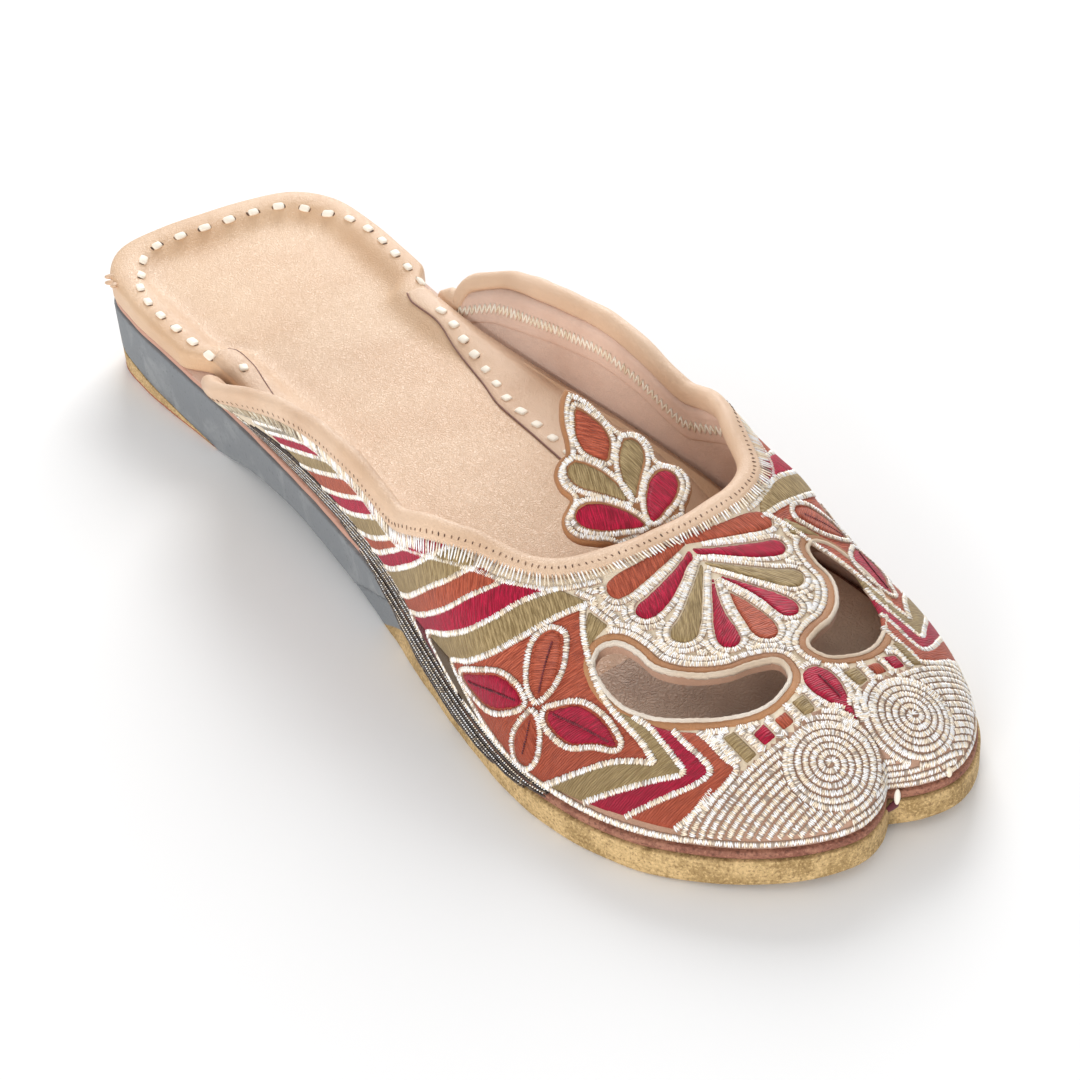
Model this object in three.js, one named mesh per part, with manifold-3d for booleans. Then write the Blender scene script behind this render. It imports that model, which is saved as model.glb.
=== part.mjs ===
// An embroidered leather mule with an open heel, as one assembly of its leather pieces.
//
// Frame: millimetres, +X toward the toe, +Y to the wearer's left, +Z up, the shoe standing on z = 0.
// The origin is on the ground under the middle of the heel. The top of the upper, its openings and the
// tab are symmetric about the plane y = 0; the sole's outline swings a little to the wearer's right
// ahead of the waist. A "station" is a distance forward of the back of the heel.

import * as THREE from 'three';
import { mergeVertices } from 'three/addons/utils/BufferGeometryUtils.js';
import Module from 'manifold-3d';

const wasm = await Module();
wasm.setup();

// ---- driving dimensions ---------------------------------------------------------------------------

const LENGTH = 249; // back of the heel to the tip of the toe lobes
const BALL_WIDTH = 84.6; // across the widest part of the sole
const HEEL_WIDTH = 63.6; // across the heel seat
const HEEL_HEIGHT = 18.4; // ground to the top of the midsole at the heel
const BALL_HEIGHT = 7; // ground to the top of the midsole at the ball
const INSTEP_HEIGHT = 30.5; // ground to the top of the upper at the throat
const TOE_SPRING = 2; // lift of the sole's underside at the toe
const ARCH_RISE = 3.6; // lift of the underside at the waist
const HEEL_REST = 30; // station of the middle of the heel's resting face, where the origin is

const GAP = 0.3; // between curved leather faces that touch on the real shoe
const WALL = 2; // upper leather with its lining
const MIDSOLE = 1.5;
const TAB_WALL = 1.8;

// ---- short tables ---------------------------------------------------------------------------------

// The sole's half outline from the toe notch round to the back of the heel, and the station on the
// centre line that each point's rib runs to.
const HALF_BALL = BALL_WIDTH / 2;
const HALF_HEEL = HEEL_WIDTH / 2;
const outline = [
  { station: 244.4, half: 0, spine: 214.5 },
  { station: 247.4, half: 4.6, spine: 214.2 },
  { station: 249, half: 10.5, spine: 213.4 },
  { station: 247.6, half: 16.4, spine: 212.4 },
  { station: 242.6, half: 24, spine: 210.8 },
  { station: 233, half: 32, spine: 207.5 },
  { station: 219, half: 38.9, spine: 202.5 },
  { station: 201, half: HALF_BALL, spine: 194.5 },
  { station: 181, half: 41.4, spine: 180 },
  { station: 160, half: 39, spine: 160 },
  { station: 140, half: 36, spine: 140 },
  { station: 120, half: 34, spine: 120 },
  { station: 100, half: 32.6, spine: 100 },
  { station: 80, half: 31.4, spine: 80 },
  { station: 60, half: 31.2, spine: 60 },
  { station: 40, half: HALF_HEEL, spine: 46 },
  { station: 24, half: 31.7, spine: 38 },
  { station: 11, half: 29.6, spine: 33 },
  { station: 3.2, half: 23, spine: 30 },
  { station: 0.4, half: 11, spine: 28.5 },
  { station: 0, half: 0, spine: 28 },
];

// Heights along the shoe: underside of the sole, and top of the midsole, which is the feather line.
const profile = {
  // sideways swing of the sole's outline toward the wearer's right, ahead of the straight heel
  swing: [[100, 0], [130, -0.6], [160, -1.7], [185, -2.8], [205, -3], [222, -2.7], [238, -1.4], [LENGTH, 0]],
  ground: [
    [0, 0], [58, 0], [76, 0.72 * ARCH_RISE], [96, ARCH_RISE], [120, 0.6 * ARCH_RISE], [144, 0],
    [222, 0], [236, 0.35 * TOE_SPRING], [LENGTH, TOE_SPRING],
  ],
  feather: [
    [0, HEEL_HEIGHT + 1], [20, HEEL_HEIGHT + 0.2], [40, HEEL_HEIGHT - 1.2], [58, 15.4], [80, 13.9],
    [105, 13.3], [130, 12.9], [150, 11.2], [170, 8.6], [190, BALL_HEIGHT], [215, BALL_HEIGHT + 0.2],
    [235, BALL_HEIGHT + 1], [LENGTH, BALL_HEIGHT + TOE_SPRING],
  ],
  // top of the ridge of the upper's surface, which runs on over the instep behind the throat
  ridge: [
    [50, 66], [120, 62], [140, 54], [152, 45], [163, 38], [172, 33.6], [181, INSTEP_HEIGHT + 0.4],
    [188, 28.6], [200, 25.6], [LENGTH, 20],
  ],
  // how square the upper's cross-section is: 2 is an ellipse
  fullness: [[50, 3], [110, 3.6], [150, 3.7], [176, 3.6], [187, 2.6], [199, 2], [225, 1.8], [LENGTH, 1.8]],
  // sideways lean of the wings, mm out for each mm up
  flare: [
    [50, 0.3], [62, 0.55], [75, 0.68], [85, 0.48], [95, 0.3], [105, 0.2], [115, 0.15], [125, 0.11], [140, 0.04],
    [152, 0], [LENGTH, 0],
  ],
  // top edge of each wing of the upper, up to the scallop where the throat begins
  wing: [
    [54, 15.9], [58, 16.3], [62, 17.9], [75, 23.1], [90, 27.6], [105, 31], [119, 32.6], [131, 31.6],
    [140, 29.2], [146, 27.9], [152, 29.5], [158, 31.2], [164, 31.8],
  ],
};

// Plan of the throat opening ahead of the wings, from the centre line out to the wing's top edge.
const throat = [
  { station: 185, half: 0 },
  { station: 184.6, half: 10 },
  { station: 182.8, half: 19 },
  { station: 178.6, half: 26 },
];

// ---- small maths ----------------------------------------------------------------------------------

// A smooth curve through [station, value] pairs, read by station.
function reader(pairs) {
  const knots = pairs.map(([x, y]) => ({ x, y }));
  const slopes = knots.map((knot, i) => {
    const before = knots[Math.max(i - 1, 0)];
    const after = knots[Math.min(i + 1, knots.length - 1)];
    const left = (knot.y - before.y) / (knot.x - before.x || 1);
    const right = (after.y - knot.y) / (after.x - knot.x || 1);
    if (i === 0) return right;
    if (i === knots.length - 1) return left;
    return left * right <= 0 ? 0 : (2 * left * right) / (left + right);
  });
  return (x) => {
    const clamped = THREE.MathUtils.clamp(x, knots[0].x, knots[knots.length - 1].x);
    let i = 0;
    while (i < knots.length - 2 && clamped > knots[i + 1].x) i += 1;
    const a = knots[i];
    const b = knots[i + 1];
    const span = b.x - a.x;
    const t = (clamped - a.x) / span;
    const cubic = t * t * (3 - 2 * t);
    return (
      a.y + (b.y - a.y) * cubic
      + span * (slopes[i] * t * (1 - t) ** 2 - slopes[i + 1] * t * t * (1 - t))
    );
  };
}

const swingAt = reader(profile.swing);
const groundAt = reader(profile.ground);
const featherAt = reader(profile.feather);
const ridgeAt = reader(profile.ridge);
const fullnessAt = reader(profile.fullness);
const flareAt = reader(profile.flare);
const wingAt = reader(profile.wing);

// ---- ribs -----------------------------------------------------------------------------------------

// The whole outline as one curve, from the toe notch along the left side, round the heel and back
// along the right side. Its third coordinate is the rib's station on the centre line.
const leftSide = outline.map((row) => new THREE.Vector3(row.station, row.half, row.spine));
const rightSide = outline.slice(0, -1).reverse();
const outlineCurve = new THREE.CatmullRomCurve3(
  [...leftSide, ...rightSide.map((row) => new THREE.Vector3(row.station, -row.half, row.spine))],
  false,
  'centripetal',
);
outlineCurve.arcLengthDivisions = 1200;

// The rib at share s of the outline, 0 and 1 at the notch and 0.5 at the back of the heel.
function rib(s) {
  const wrapped = s - Math.floor(s);
  const point = outlineCurve.getPointAt(wrapped);
  const edge = new THREE.Vector2(point.x, point.y + swingAt(point.x));
  const spine = new THREE.Vector2(point.z, 0);
  const length = edge.distanceTo(spine);
  const inward = spine.clone().sub(edge).divideScalar(length);
  return { edge, spine, length, inward };
}

// The point a given distance in from the outline along its rib, at height(station).
function inset(r, distance, height) {
  const plan = r.edge.clone().addScaledVector(r.inward, distance);
  return new THREE.Vector3(plan.x, plan.y, height(plan.x));
}

// The point a given share of the way in from the outline to the centre line.
function share(r, part, height) {
  return inset(r, part * r.length, height);
}

// ---- closed forms ---------------------------------------------------------------------------------

// A closed form from its points and triangles, turned to face out if its volume comes out negative.
function geometryOf(points, triangles) {
  let volume = 0;
  for (let i = 0; i < triangles.length; i += 3) {
    const [a, b, c] = triangles.slice(i, i + 3).map((k) => points[k]);
    volume += a.dot(b.clone().cross(c));
  }
  if (volume < 0) triangles.reverse();
  const geometry = new THREE.BufferGeometry();
  geometry.setAttribute('position', new THREE.Float32BufferAttribute(points.flatMap((p) => p.toArray()), 3));
  geometry.setIndex(triangles);
  return geometry;
}

// A closed form swept right round the outline: each row is a function of the rib, from the centre line
// underneath, out to the edge and back to the centre line on top.
function aroundOutline(rows, columns) {
  const points = [];
  const triangles = [];
  for (let i = 0; i < columns; i += 1) {
    const r = rib(i / columns);
    rows.forEach((row) => points.push(row(r)));
  }
  const at = (i, j) => (i % columns) * rows.length + j;
  for (let i = 0; i < columns; i += 1) {
    for (let j = 0; j < rows.length - 1; j += 1) {
      triangles.push(at(i, j), at(i, j + 1), at(i + 1, j + 1));
      triangles.push(at(i, j), at(i + 1, j + 1), at(i + 1, j));
    }
  }
  return geometryOf(points, triangles);
}

// A closed form through equal rings of points, with a flat lid on each end.
function throughRings(rings) {
  const size = rings[0].length;
  const points = rings.flat();
  const triangles = [];
  for (let i = 0; i < rings.length - 1; i += 1) {
    for (let j = 0; j < size; j += 1) {
      const next = (j + 1) % size;
      triangles.push(i * size + j, i * size + next, (i + 1) * size + next);
      triangles.push(i * size + j, (i + 1) * size + next, (i + 1) * size + j);
    }
  }
  const last = (rings.length - 1) * size;
  for (let j = 1; j < size - 1; j += 1) {
    triangles.push(0, j + 1, j, last, last + j, last + j + 1);
  }
  return geometryOf(points, triangles);
}

// ---- solids that are cut --------------------------------------------------------------------------

const MERGE = 1e-3; // mm, vertices nearer than this are one

function solid(geometry) {
  const bare = geometry.clone();
  bare.deleteAttribute('normal');
  bare.deleteAttribute('uv');
  const merged = mergeVertices(bare, MERGE);
  const index = Array.from(merged.index.array);
  const triVerts = [];
  for (let i = 0; i < index.length; i += 3) {
    const [a, b, c] = index.slice(i, i + 3);
    if (a !== b && b !== c && c !== a) triVerts.push(a, b, c);
  }
  return new wasm.Manifold(new wasm.Mesh({
    numProp: 3,
    vertProperties: new Float32Array(merged.attributes.position.array),
    triVerts: new Uint32Array(triVerts),
  }));
}

function geometryFrom(manifold) {
  const mesh = manifold.getMesh();
  const geometry = new THREE.BufferGeometry();
  geometry.setAttribute('position', new THREE.BufferAttribute(new Float32Array(mesh.vertProperties), 3));
  geometry.setIndex(Array.from(mesh.triVerts));
  return geometry;
}

const REACH = 80; // half width of a cutter, past both sides of the shoe

// A cutter through the whole width, from its outline of [station, height] points seen from the side.
function sideCutter(corners) {
  const shape = new THREE.Shape(corners.map(([station, height]) => new THREE.Vector2(station, height)));
  const geometry = new THREE.ExtrudeGeometry(shape, { depth: 2 * REACH, bevelEnabled: false });
  geometry.rotateX(Math.PI / 2);
  geometry.translate(0, REACH, 0);
  return solid(geometry);
}

// A cutter right up through the shoe, from a shape in plan.
function planCutter(shape) {
  const geometry = new THREE.ExtrudeGeometry(shape, { depth: REACH, bevelEnabled: false });
  return solid(geometry);
}

// ---- sole -----------------------------------------------------------------------------------------

const SOLE_COLUMNS = 112;
const EDGE_ROUND = 0.8; // rounding along the bottom edge of the sole
const soleTop = (x) => featherAt(x) - MIDSOLE - GAP;

// All that lies between the ground and the midsole, before it is parted into lift, wedge and outsole.
const underfoot = solid(aroundOutline([
  (r) => share(r, 1, groundAt),
  (r) => share(r, 0.5, groundAt),
  (r) => inset(r, EDGE_ROUND, groundAt),
  (r) => inset(r, 0, (x) => groundAt(x) + EDGE_ROUND),
  (r) => inset(r, 0, soleTop),
  (r) => share(r, 0.5, soleTop),
  (r) => share(r, 1, soleTop),
], SOLE_COLUMNS));

const LIFT_BACK = 7; // height of the heel lift at the back, tapering to nothing under the waist
const LIFT_FRONT = 58;
const liftTop = (x) => LIFT_BACK * (1 - x / LIFT_FRONT) + 0.5;

// The outsole runs back under the waist as a long skived wedge, and the heel wedge lies over it.
const SKIVE_BACK = 124;
const SKIVE_FRONT = 143;
const skiveLow = groundAt(SKIVE_BACK) + 0.5;
const skiveHigh = soleTop(SKIVE_FRONT) - 0.5;

function soleParts() {
  const below = -5;
  const above = 60;
  const lift = sideCutter([
    [-5, below], [LIFT_FRONT, below], [LIFT_FRONT, liftTop(LIFT_FRONT)], [-5, liftTop(-5)],
  ]);
  const wedge = sideCutter([
    [-5, liftTop(-5) + GAP], [LIFT_FRONT + GAP, liftTop(LIFT_FRONT) + GAP], [LIFT_FRONT + GAP, below],
    [SKIVE_BACK - GAP, below], [SKIVE_BACK - GAP, skiveLow + GAP], [SKIVE_FRONT, skiveHigh + GAP],
    [SKIVE_FRONT, above], [-5, above],
  ]);
  const outsole = sideCutter([
    [SKIVE_BACK, below], [LENGTH + 5, below], [LENGTH + 5, above], [SKIVE_FRONT + GAP, above],
    [SKIVE_FRONT + GAP, skiveHigh], [SKIVE_BACK, skiveLow],
  ]);
  return {
    lift: geometryFrom(underfoot.intersect(lift)),
    wedge: geometryFrom(underfoot.intersect(wedge)),
    outsole: geometryFrom(underfoot.intersect(outsole)),
  };
}

// ---- midsole and insole ---------------------------------------------------------------------------

const MIDSOLE_INSET = 0.5;

function midsole() {
  const under = (x) => featherAt(x) - MIDSOLE;
  return aroundOutline([
    (r) => share(r, 1, under),
    (r) => share(r, 0.5, under),
    (r) => inset(r, MIDSOLE_INSET, under),
    (r) => inset(r, MIDSOLE_INSET, featherAt),
    (r) => share(r, 0.5, featherAt),
    (r) => share(r, 1, featherAt),
  ], SOLE_COLUMNS);
}

const NOTCH_DEPTH = 4.6; // how far the toe notch cuts back, fading out up the upper
const NOTCH_HALF = 10.5;
const NOTCH_FADE = 0.5; // share of the rise over which it fades
const UPPER_INSET = 1.2; // the upper's feather line, in from the sole's edge
const WING_BACK = 56; // station of the back end of the wings
const RIM = 7.5; // width of the stitched rim round the heel
const DISH = 1.3; // depth of the footbed inside the rim

// the footbed's edge, in from the sole's edge: it narrows in a step where the wings begin
const insoleEdge = reader([
  [0, 0.2], [WING_BACK - 8.5, 0.2], [WING_BACK - 1.5, 4.2], [145, 4.2], [175, 5.6], [LENGTH, 5.6],
]);
const insoleThickness = reader([[0, 7], [14, 5.8], [40, 4.6], [70, 3.8], [110, 3.2], [LENGTH, 2.6]]);
const insoleUnder = (x) => featherAt(x) + GAP;
const rimTop = (x) => insoleUnder(x) + insoleThickness(x);

function insole() {
  const dish = (x) => rimTop(x) - DISH * (1 - 0.7 * THREE.MathUtils.smoothstep(x, 60, 110));
  const from = (r, extra) => insoleEdge(r.edge.x) + extra;
  const along = (r, part) => from(r, 0) + (r.length - from(r, 0)) * part;
  return aroundOutline([
    (r) => share(r, 1, insoleUnder),
    (r) => inset(r, along(r, 0.5), insoleUnder),
    (r) => inset(r, from(r, 0.3), insoleUnder),
    (r) => inset(r, from(r, 0), (x) => insoleUnder(x) + 0.3),
    (r) => inset(r, from(r, 0), (x) => rimTop(x) - 1.3),
    (r) => inset(r, from(r, 0.4), (x) => rimTop(x) - 0.4),
    (r) => inset(r, from(r, 1.5), rimTop),
    (r) => inset(r, from(r, RIM), rimTop),
    (r) => inset(r, from(r, RIM + 3), (x) => dish(x) + 0.3),
    (r) => inset(r, from(r, RIM + 6), dish),
    (r) => share(r, 1, dish),
  ], SOLE_COLUMNS);
}

// ---- upper ----------------------------------------------------------------------------------------

// A point of the upper's outer surface: s runs round the outline, rise goes from 0 at the feather line
// to 1 on the ridge.
function upperPoint(s, rise) {
  const r = rib(s);
  const start = r.edge.clone().addScaledVector(r.inward, UPPER_INSET);
  const filled = THREE.MathUtils.smoothstep(rise, 0, NOTCH_FADE);
  start.x += filled * NOTCH_DEPTH * (1 - THREE.MathUtils.smoothstep(Math.abs(r.edge.y), 0, NOTCH_HALF));
  const foot = featherAt(r.edge.x) + GAP;
  const power = fullnessAt(r.edge.x);
  const angle = (rise * Math.PI) / 2;
  const across = Math.cos(angle);
  const up = Math.sin(angle);
  const radius = (across ** power + up ** power) ** (-1 / power);
  const height = (ridgeAt(r.spine.x) - foot) * up * radius;
  start.y -= swingAt(r.edge.x) * up * radius;
  const plan = start.lerp(r.spine, 1 - across * radius);
  const lean = flareAt(r.edge.x) * height * Math.min(1, across * 2);
  plan.addScaledVector(r.inward, -lean);
  return new THREE.Vector3(plan.x, plan.y, foot + height);
}

function upperNormal(s, rise) {
  const ds = 1e-3;
  const dv = 1e-3;
  const low = Math.max(rise - dv, 0);
  const high = Math.min(rise + dv, 1 - 1e-4);
  const along = upperPoint(s + ds, rise).sub(upperPoint(s - ds, rise));
  const up = upperPoint(s, high).sub(upperPoint(s, low));
  return along.cross(up).normalize();
}

// The point under the outer surface by a depth, kept level at the feather line.
function upperInside(s, rise, depth) {
  const point = upperPoint(s, rise);
  const normal = upperNormal(s, rise);
  if (rise === 0) normal.setZ(0).normalize();
  if (rise === 1) normal.setY(0).normalize();
  return point.addScaledVector(normal, -depth);
}

// The share of the outline at which the left or right side passes a station behind the toe.
function shareAtStation(station) {
  let low = 0.1;
  let high = 0.5;
  for (let i = 0; i < 40; i += 1) {
    const middle = (low + high) / 2;
    if (rib(middle).edge.x > station) low = middle;
    else high = middle;
  }
  return low;
}

const UPPER_COLUMNS = 84;
const RISE_ROWS = 14;

function upperShell() {
  const end = shareAtStation(WING_BACK);
  const columns = Array.from({ length: UPPER_COLUMNS + 1 }, (_, i) => end * ((2 * i) / UPPER_COLUMNS - 1));
  const rises = Array.from({ length: RISE_ROWS + 1 }, (_, j) => j / RISE_ROWS);
  const rings = columns.map((s) => [
    ...rises.map((rise) => upperPoint(s, rise)),
    ...rises.map((rise) => upperInside(s, rise, WALL)).reverse(),
  ]);
  const size = rings[0].length;
  const triangles = [];
  const at = (i, j) => i * size + (j % size);
  const quad = (a, b, c, d) => triangles.push(a, b, c, a, c, d);
  for (let i = 0; i < UPPER_COLUMNS; i += 1) {
    for (let j = 0; j < size; j += 1) {
      if (j !== RISE_ROWS) quad(at(i, j), at(i, j + 1), at(i + 1, j + 1), at(i + 1, j));
    }
  }
  for (let j = 0; j < RISE_ROWS; j += 1) {
    const inner = size - 1 - j;
    quad(at(0, j), at(0, inner), at(0, inner - 1), at(0, j + 1));
    quad(at(UPPER_COLUMNS, j), at(UPPER_COLUMNS, j + 1), at(UPPER_COLUMNS, inner - 1), at(UPPER_COLUMNS, inner));
  }
  return geometryOf(rings.flat(), triangles);
}

// The rise at which one side of the upper's surface passes a test, from low to high.
function riseWhere(s, passed) {
  let low = 0;
  let high = 1;
  for (let i = 0; i < 30; i += 1) {
    const middle = (low + high) / 2;
    if (passed(upperPoint(s, middle))) high = middle;
    else low = middle;
  }
  return low;
}

// Cuts away everything above the wings' top edge.
function wingCutter() {
  const first = profile.wing[0][0];
  const last = profile.wing[profile.wing.length - 1][0];
  const steps = 34;
  const edge = Array.from({ length: steps + 1 }, (_, i) => {
    const station = first + ((last - first) * i) / steps;
    return [station, wingAt(station)];
  });
  return sideCutter([[first - 5, edge[0][1] - 1], ...edge, [last, 100], [first - 5, 100]]);
}

// Where the wings' top edge ends on one side, side being 1 on the left and -1 on the right.
function wingEnd(side) {
  const station = profile.wing[profile.wing.length - 1][0];
  const left = shareAtStation(station);
  const s = side > 0 ? left : 1 - left;
  return upperPoint(s, riseWhere(s, (point) => point.z > wingAt(station)));
}

// The throat's plan curve from the left wing's top edge round to the right one's.
function throatPlan() {
  const rows = throat.slice(1).map((row) => new THREE.Vector3(row.station, row.half, 0));
  const mirrored = rows.map((point) => new THREE.Vector3(point.x, -point.y, 0));
  const middle = new THREE.Vector3(throat[0].station, throat[0].half, 0);
  const curve = new THREE.CatmullRomCurve3(
    [wingEnd(1), ...rows.reverse(), middle, ...mirrored, wingEnd(-1)].map((point) => point.setZ(0)),
    false, 'centripetal');
  return curve.getSpacedPoints(56).map((point) => new THREE.Vector2(point.x, point.y));
}

function throatCutter() {
  const curve = throatPlan();
  const back = curve[0].x - 0.05; // just behind the wings' own cut, so that no sliver is left
  const corners = [curve[curve.length - 1], curve[0]].map((point) => new THREE.Vector2(back, point.y));
  return planCutter(new THREE.Shape([...curve, ...corners]));
}

// Outline in plan of one of the two crescent cut-outs over the toes, as [station, distance off centre].
const crescent = [
  [218.5, 3.6], [222.4, 4.4], [224.4, 8.5], [224.4, 13], [221.5, 18.3], [217, 23.2], [212.2, 26.8],
  [207, 28.8], [201.5, 29], [197, 27.6], [195.4, 25], [196.8, 22.2], [200.5, 20.9], [205, 20.5],
  [209, 18.6], [212.5, 15.4], [215, 11.6], [216.3, 7.2],
];

function crescentCutter(side) {
  const loop = new THREE.CatmullRomCurve3(
    crescent.map(([station, half]) => new THREE.Vector3(station, side * half, 0)), true, 'centripetal');
  const points = loop.getSpacedPoints(40).slice(0, -1);
  return planCutter(new THREE.Shape(points.map((point) => new THREE.Vector2(point.x, point.y))));
}

function upper() {
  let shell = solid(upperShell());
  const seat = solid(alongTopline(BINDING_SEAT));
  [wingCutter(), throatCutter(), crescentCutter(1), crescentCutter(-1), seat].forEach((cutter) => {
    shell = shell.subtract(cutter);
  });
  return geometryFrom(shell);
}

// ---- topline binding ------------------------------------------------------------------------------

// Where the outer surface passes over a point in plan, as its share of the outline and its rise.
function surfaceOver(station, y) {
  const side = y < 0 ? -1 : 1;
  const beside = (point) => side * point.y < Math.abs(y);
  let front = 0.02;
  let back = 0.5;
  let found;
  for (let i = 0; i < 30; i += 1) {
    const middle = (front + back) / 2;
    const s = side > 0 ? middle : 1 - middle;
    found = { s, rise: riseWhere(s, beside) };
    if (upperPoint(found.s, found.rise).x > station) front = middle;
    else back = middle;
  }
  return found;
}

// The upper's top edge on its outer surface, from the back of the left wing round to the right one's.
function topline() {
  const stations = Array.from({ length: 22 }, (_, i) => THREE.MathUtils.lerp(WING_BACK + 1, 160, i / 21));
  const wing = (side) => stations.map((station) => {
    const left = shareAtStation(station);
    const s = side > 0 ? left : 1 - left;
    return { s, rise: riseWhere(s, (point) => point.z > wingAt(station)) };
  });
  const front = throatPlan().filter((_, i) => i % 2 === 0).map((point) => surfaceOver(point.x, point.y));
  return [...wing(1), ...front, ...wing(-1).reverse()];
}

// The binding's section: how far out from the outer surface, and how far past the upper's edge.
const BINDING_SECTION = [
  [0.7, GAP], [0.85, 1.8], [0.6, 3.4], [-0.3, 4.4], [-1.7, 4.4], [-2.6, 3.4], [-2.85, 1.8], [-2.7, GAP],
];
// What is cut from the upper so that its edge stands clear of the binding all along.
const BINDING_SEAT = [[1.2, 0], [1.2, 4.9], [-3.3, 4.9], [-3.3, 0]];

function alongTopline(section) {
  const path = topline();
  const places = path.map(({ s, rise }) => upperPoint(s, rise));
  return throughRings(path.map(({ s, rise }, i) => {
    const before = places[Math.max(i - 1, 0)];
    const after = places[Math.min(i + 1, places.length - 1)];
    const out = upperNormal(s, rise);
    const past = after.clone().sub(before).cross(out).normalize();
    return section.map(([n, u]) => places[i].clone().addScaledVector(out, n).addScaledVector(past, u));
  }));
}

// ---- throat tab -----------------------------------------------------------------------------------

// Half width of the lobed tab along its length, from its tip to the strip that runs under the upper.
const tabHalf = [
  [152.4, 0.3], [153.6, 2], [156.2, 4], [159.2, 5.2], [160.6, 6.2], [161, 8.4], [162.4, 10.4], [164.8, 10.9],
  [166.8, 10.2], [167.5, 11.4], [168.6, 13.6], [170.6, 14.4], [173, 13.6], [175.4, 11], [177.4, 8.6],
  [184, 8], [191, 8],
];
// Height of the tab's upper face on its centre line: it stands up and back out of the throat.
const tabHeightAt = reader([
  [152, 47.3], [157, 42.8], [163, 37.8], [169, 33.6], [173, 31.2], [177, 29.1], [181, 27.3], [185, 25.9],
  [191, 23.7],
]);
const TAB_CROWN = 0.01; // fall of the face away from its centre line, mm for each square mm

function throatTab() {
  const outlineOfTab = new THREE.CatmullRomCurve3(
    tabHalf.map(([station, half]) => new THREE.Vector3(station, half, 0)), false, 'centripetal');
  const steps = [-1, -0.6, 0, 0.6, 1];
  const rings = outlineOfTab.getSpacedPoints(34).map((point) => {
    const slope = (tabHeightAt(point.x + 0.1) - tabHeightAt(point.x - 0.1)) / 0.2;
    const normal = new THREE.Vector3(-slope, 0, 1).normalize();
    const top = steps.map((step) => {
      const y = step * point.y;
      return new THREE.Vector3(point.x, y, tabHeightAt(point.x) - TAB_CROWN * y * y);
    });
    const under = top.map((place) => place.clone().addScaledVector(normal, -TAB_WALL)).reverse();
    return [...top, ...under];
  });
  return throughRings(rings);
}

// ---- assembly -------------------------------------------------------------------------------------

function piece(name, geometry, color, roughness) {
  geometry.translate(-HEEL_REST, 0, 0);
  const mesh = new THREE.Mesh(geometry, new THREE.MeshStandardMaterial({ color, roughness, metalness: 0 }));
  mesh.name = name;
  return mesh;
}

const sole = soleParts();
const mule = new THREE.Group();
mule.name = 'embroidered_mule';
mule.add(
  piece('outsole', sole.outsole, 0xc9a96b, 0.6),
  piece('heel_wedge', sole.wedge, 0x8b9096, 0.7),
  piece('heel_lift', sole.lift, 0xcdb27e, 0.6),
  piece('midsole', midsole(), 0xb98a78, 0.6),
  piece('insole', insole(), 0xe3bd98, 0.5),
  piece('upper', upper(), 0xd9c3a5, 0.6),
  piece('topline_binding', alongTopline(BINDING_SECTION), 0xe0b792, 0.55),
  piece('throat_tab', throatTab(), 0xd9c3a5, 0.6),
);

export default mule;
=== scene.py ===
"""Looks of an embroidered leather mule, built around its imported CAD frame.

Shapes are worked out in millimetres: x is the station along the shoe from the back of the
heel, y is to the wearer's left and z is up. `place` turns them into metres in the part's
frame, whose origin is the middle of the heel's resting face.
"""

import math

import bmesh
import bpy
import numpy as np
from mathutils import Matrix, Vector
from mathutils.bvhtree import BVHTree
from mathutils.kdtree import KDTree
from mathutils.geometry import delaunay_2d_cdt


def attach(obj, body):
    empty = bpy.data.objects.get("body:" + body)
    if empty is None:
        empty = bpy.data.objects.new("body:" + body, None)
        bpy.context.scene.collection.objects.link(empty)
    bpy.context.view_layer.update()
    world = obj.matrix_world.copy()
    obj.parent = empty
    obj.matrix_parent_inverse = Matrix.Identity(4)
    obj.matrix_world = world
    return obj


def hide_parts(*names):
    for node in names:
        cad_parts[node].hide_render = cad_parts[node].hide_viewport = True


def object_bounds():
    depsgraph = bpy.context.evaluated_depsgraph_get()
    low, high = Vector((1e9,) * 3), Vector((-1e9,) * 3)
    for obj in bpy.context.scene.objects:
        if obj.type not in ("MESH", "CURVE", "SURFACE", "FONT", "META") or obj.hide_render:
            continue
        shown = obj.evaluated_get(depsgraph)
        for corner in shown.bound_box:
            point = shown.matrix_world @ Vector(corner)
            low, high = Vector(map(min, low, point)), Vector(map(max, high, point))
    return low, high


bl_info = {
    "name": "Embroidered mule",
    "version": (1, 0, 0),
    "blender": (4, 5, 0),
    "location": "3D View > Sidebar > Slipper",
    "description": "Builds the leather, embroidery and stitching of a backless slipper",
    "category": "Add Mesh",
}

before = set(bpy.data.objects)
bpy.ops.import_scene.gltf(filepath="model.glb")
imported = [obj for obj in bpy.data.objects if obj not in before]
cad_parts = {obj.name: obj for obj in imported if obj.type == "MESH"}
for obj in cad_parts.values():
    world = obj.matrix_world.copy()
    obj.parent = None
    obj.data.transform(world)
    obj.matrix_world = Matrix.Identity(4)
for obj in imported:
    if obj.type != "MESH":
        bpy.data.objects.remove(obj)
CAD_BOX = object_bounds()

MM = 0.001
SIDES = ((1, "left"), (-1, "right"))

# ---- driving sizes, mm

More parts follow.
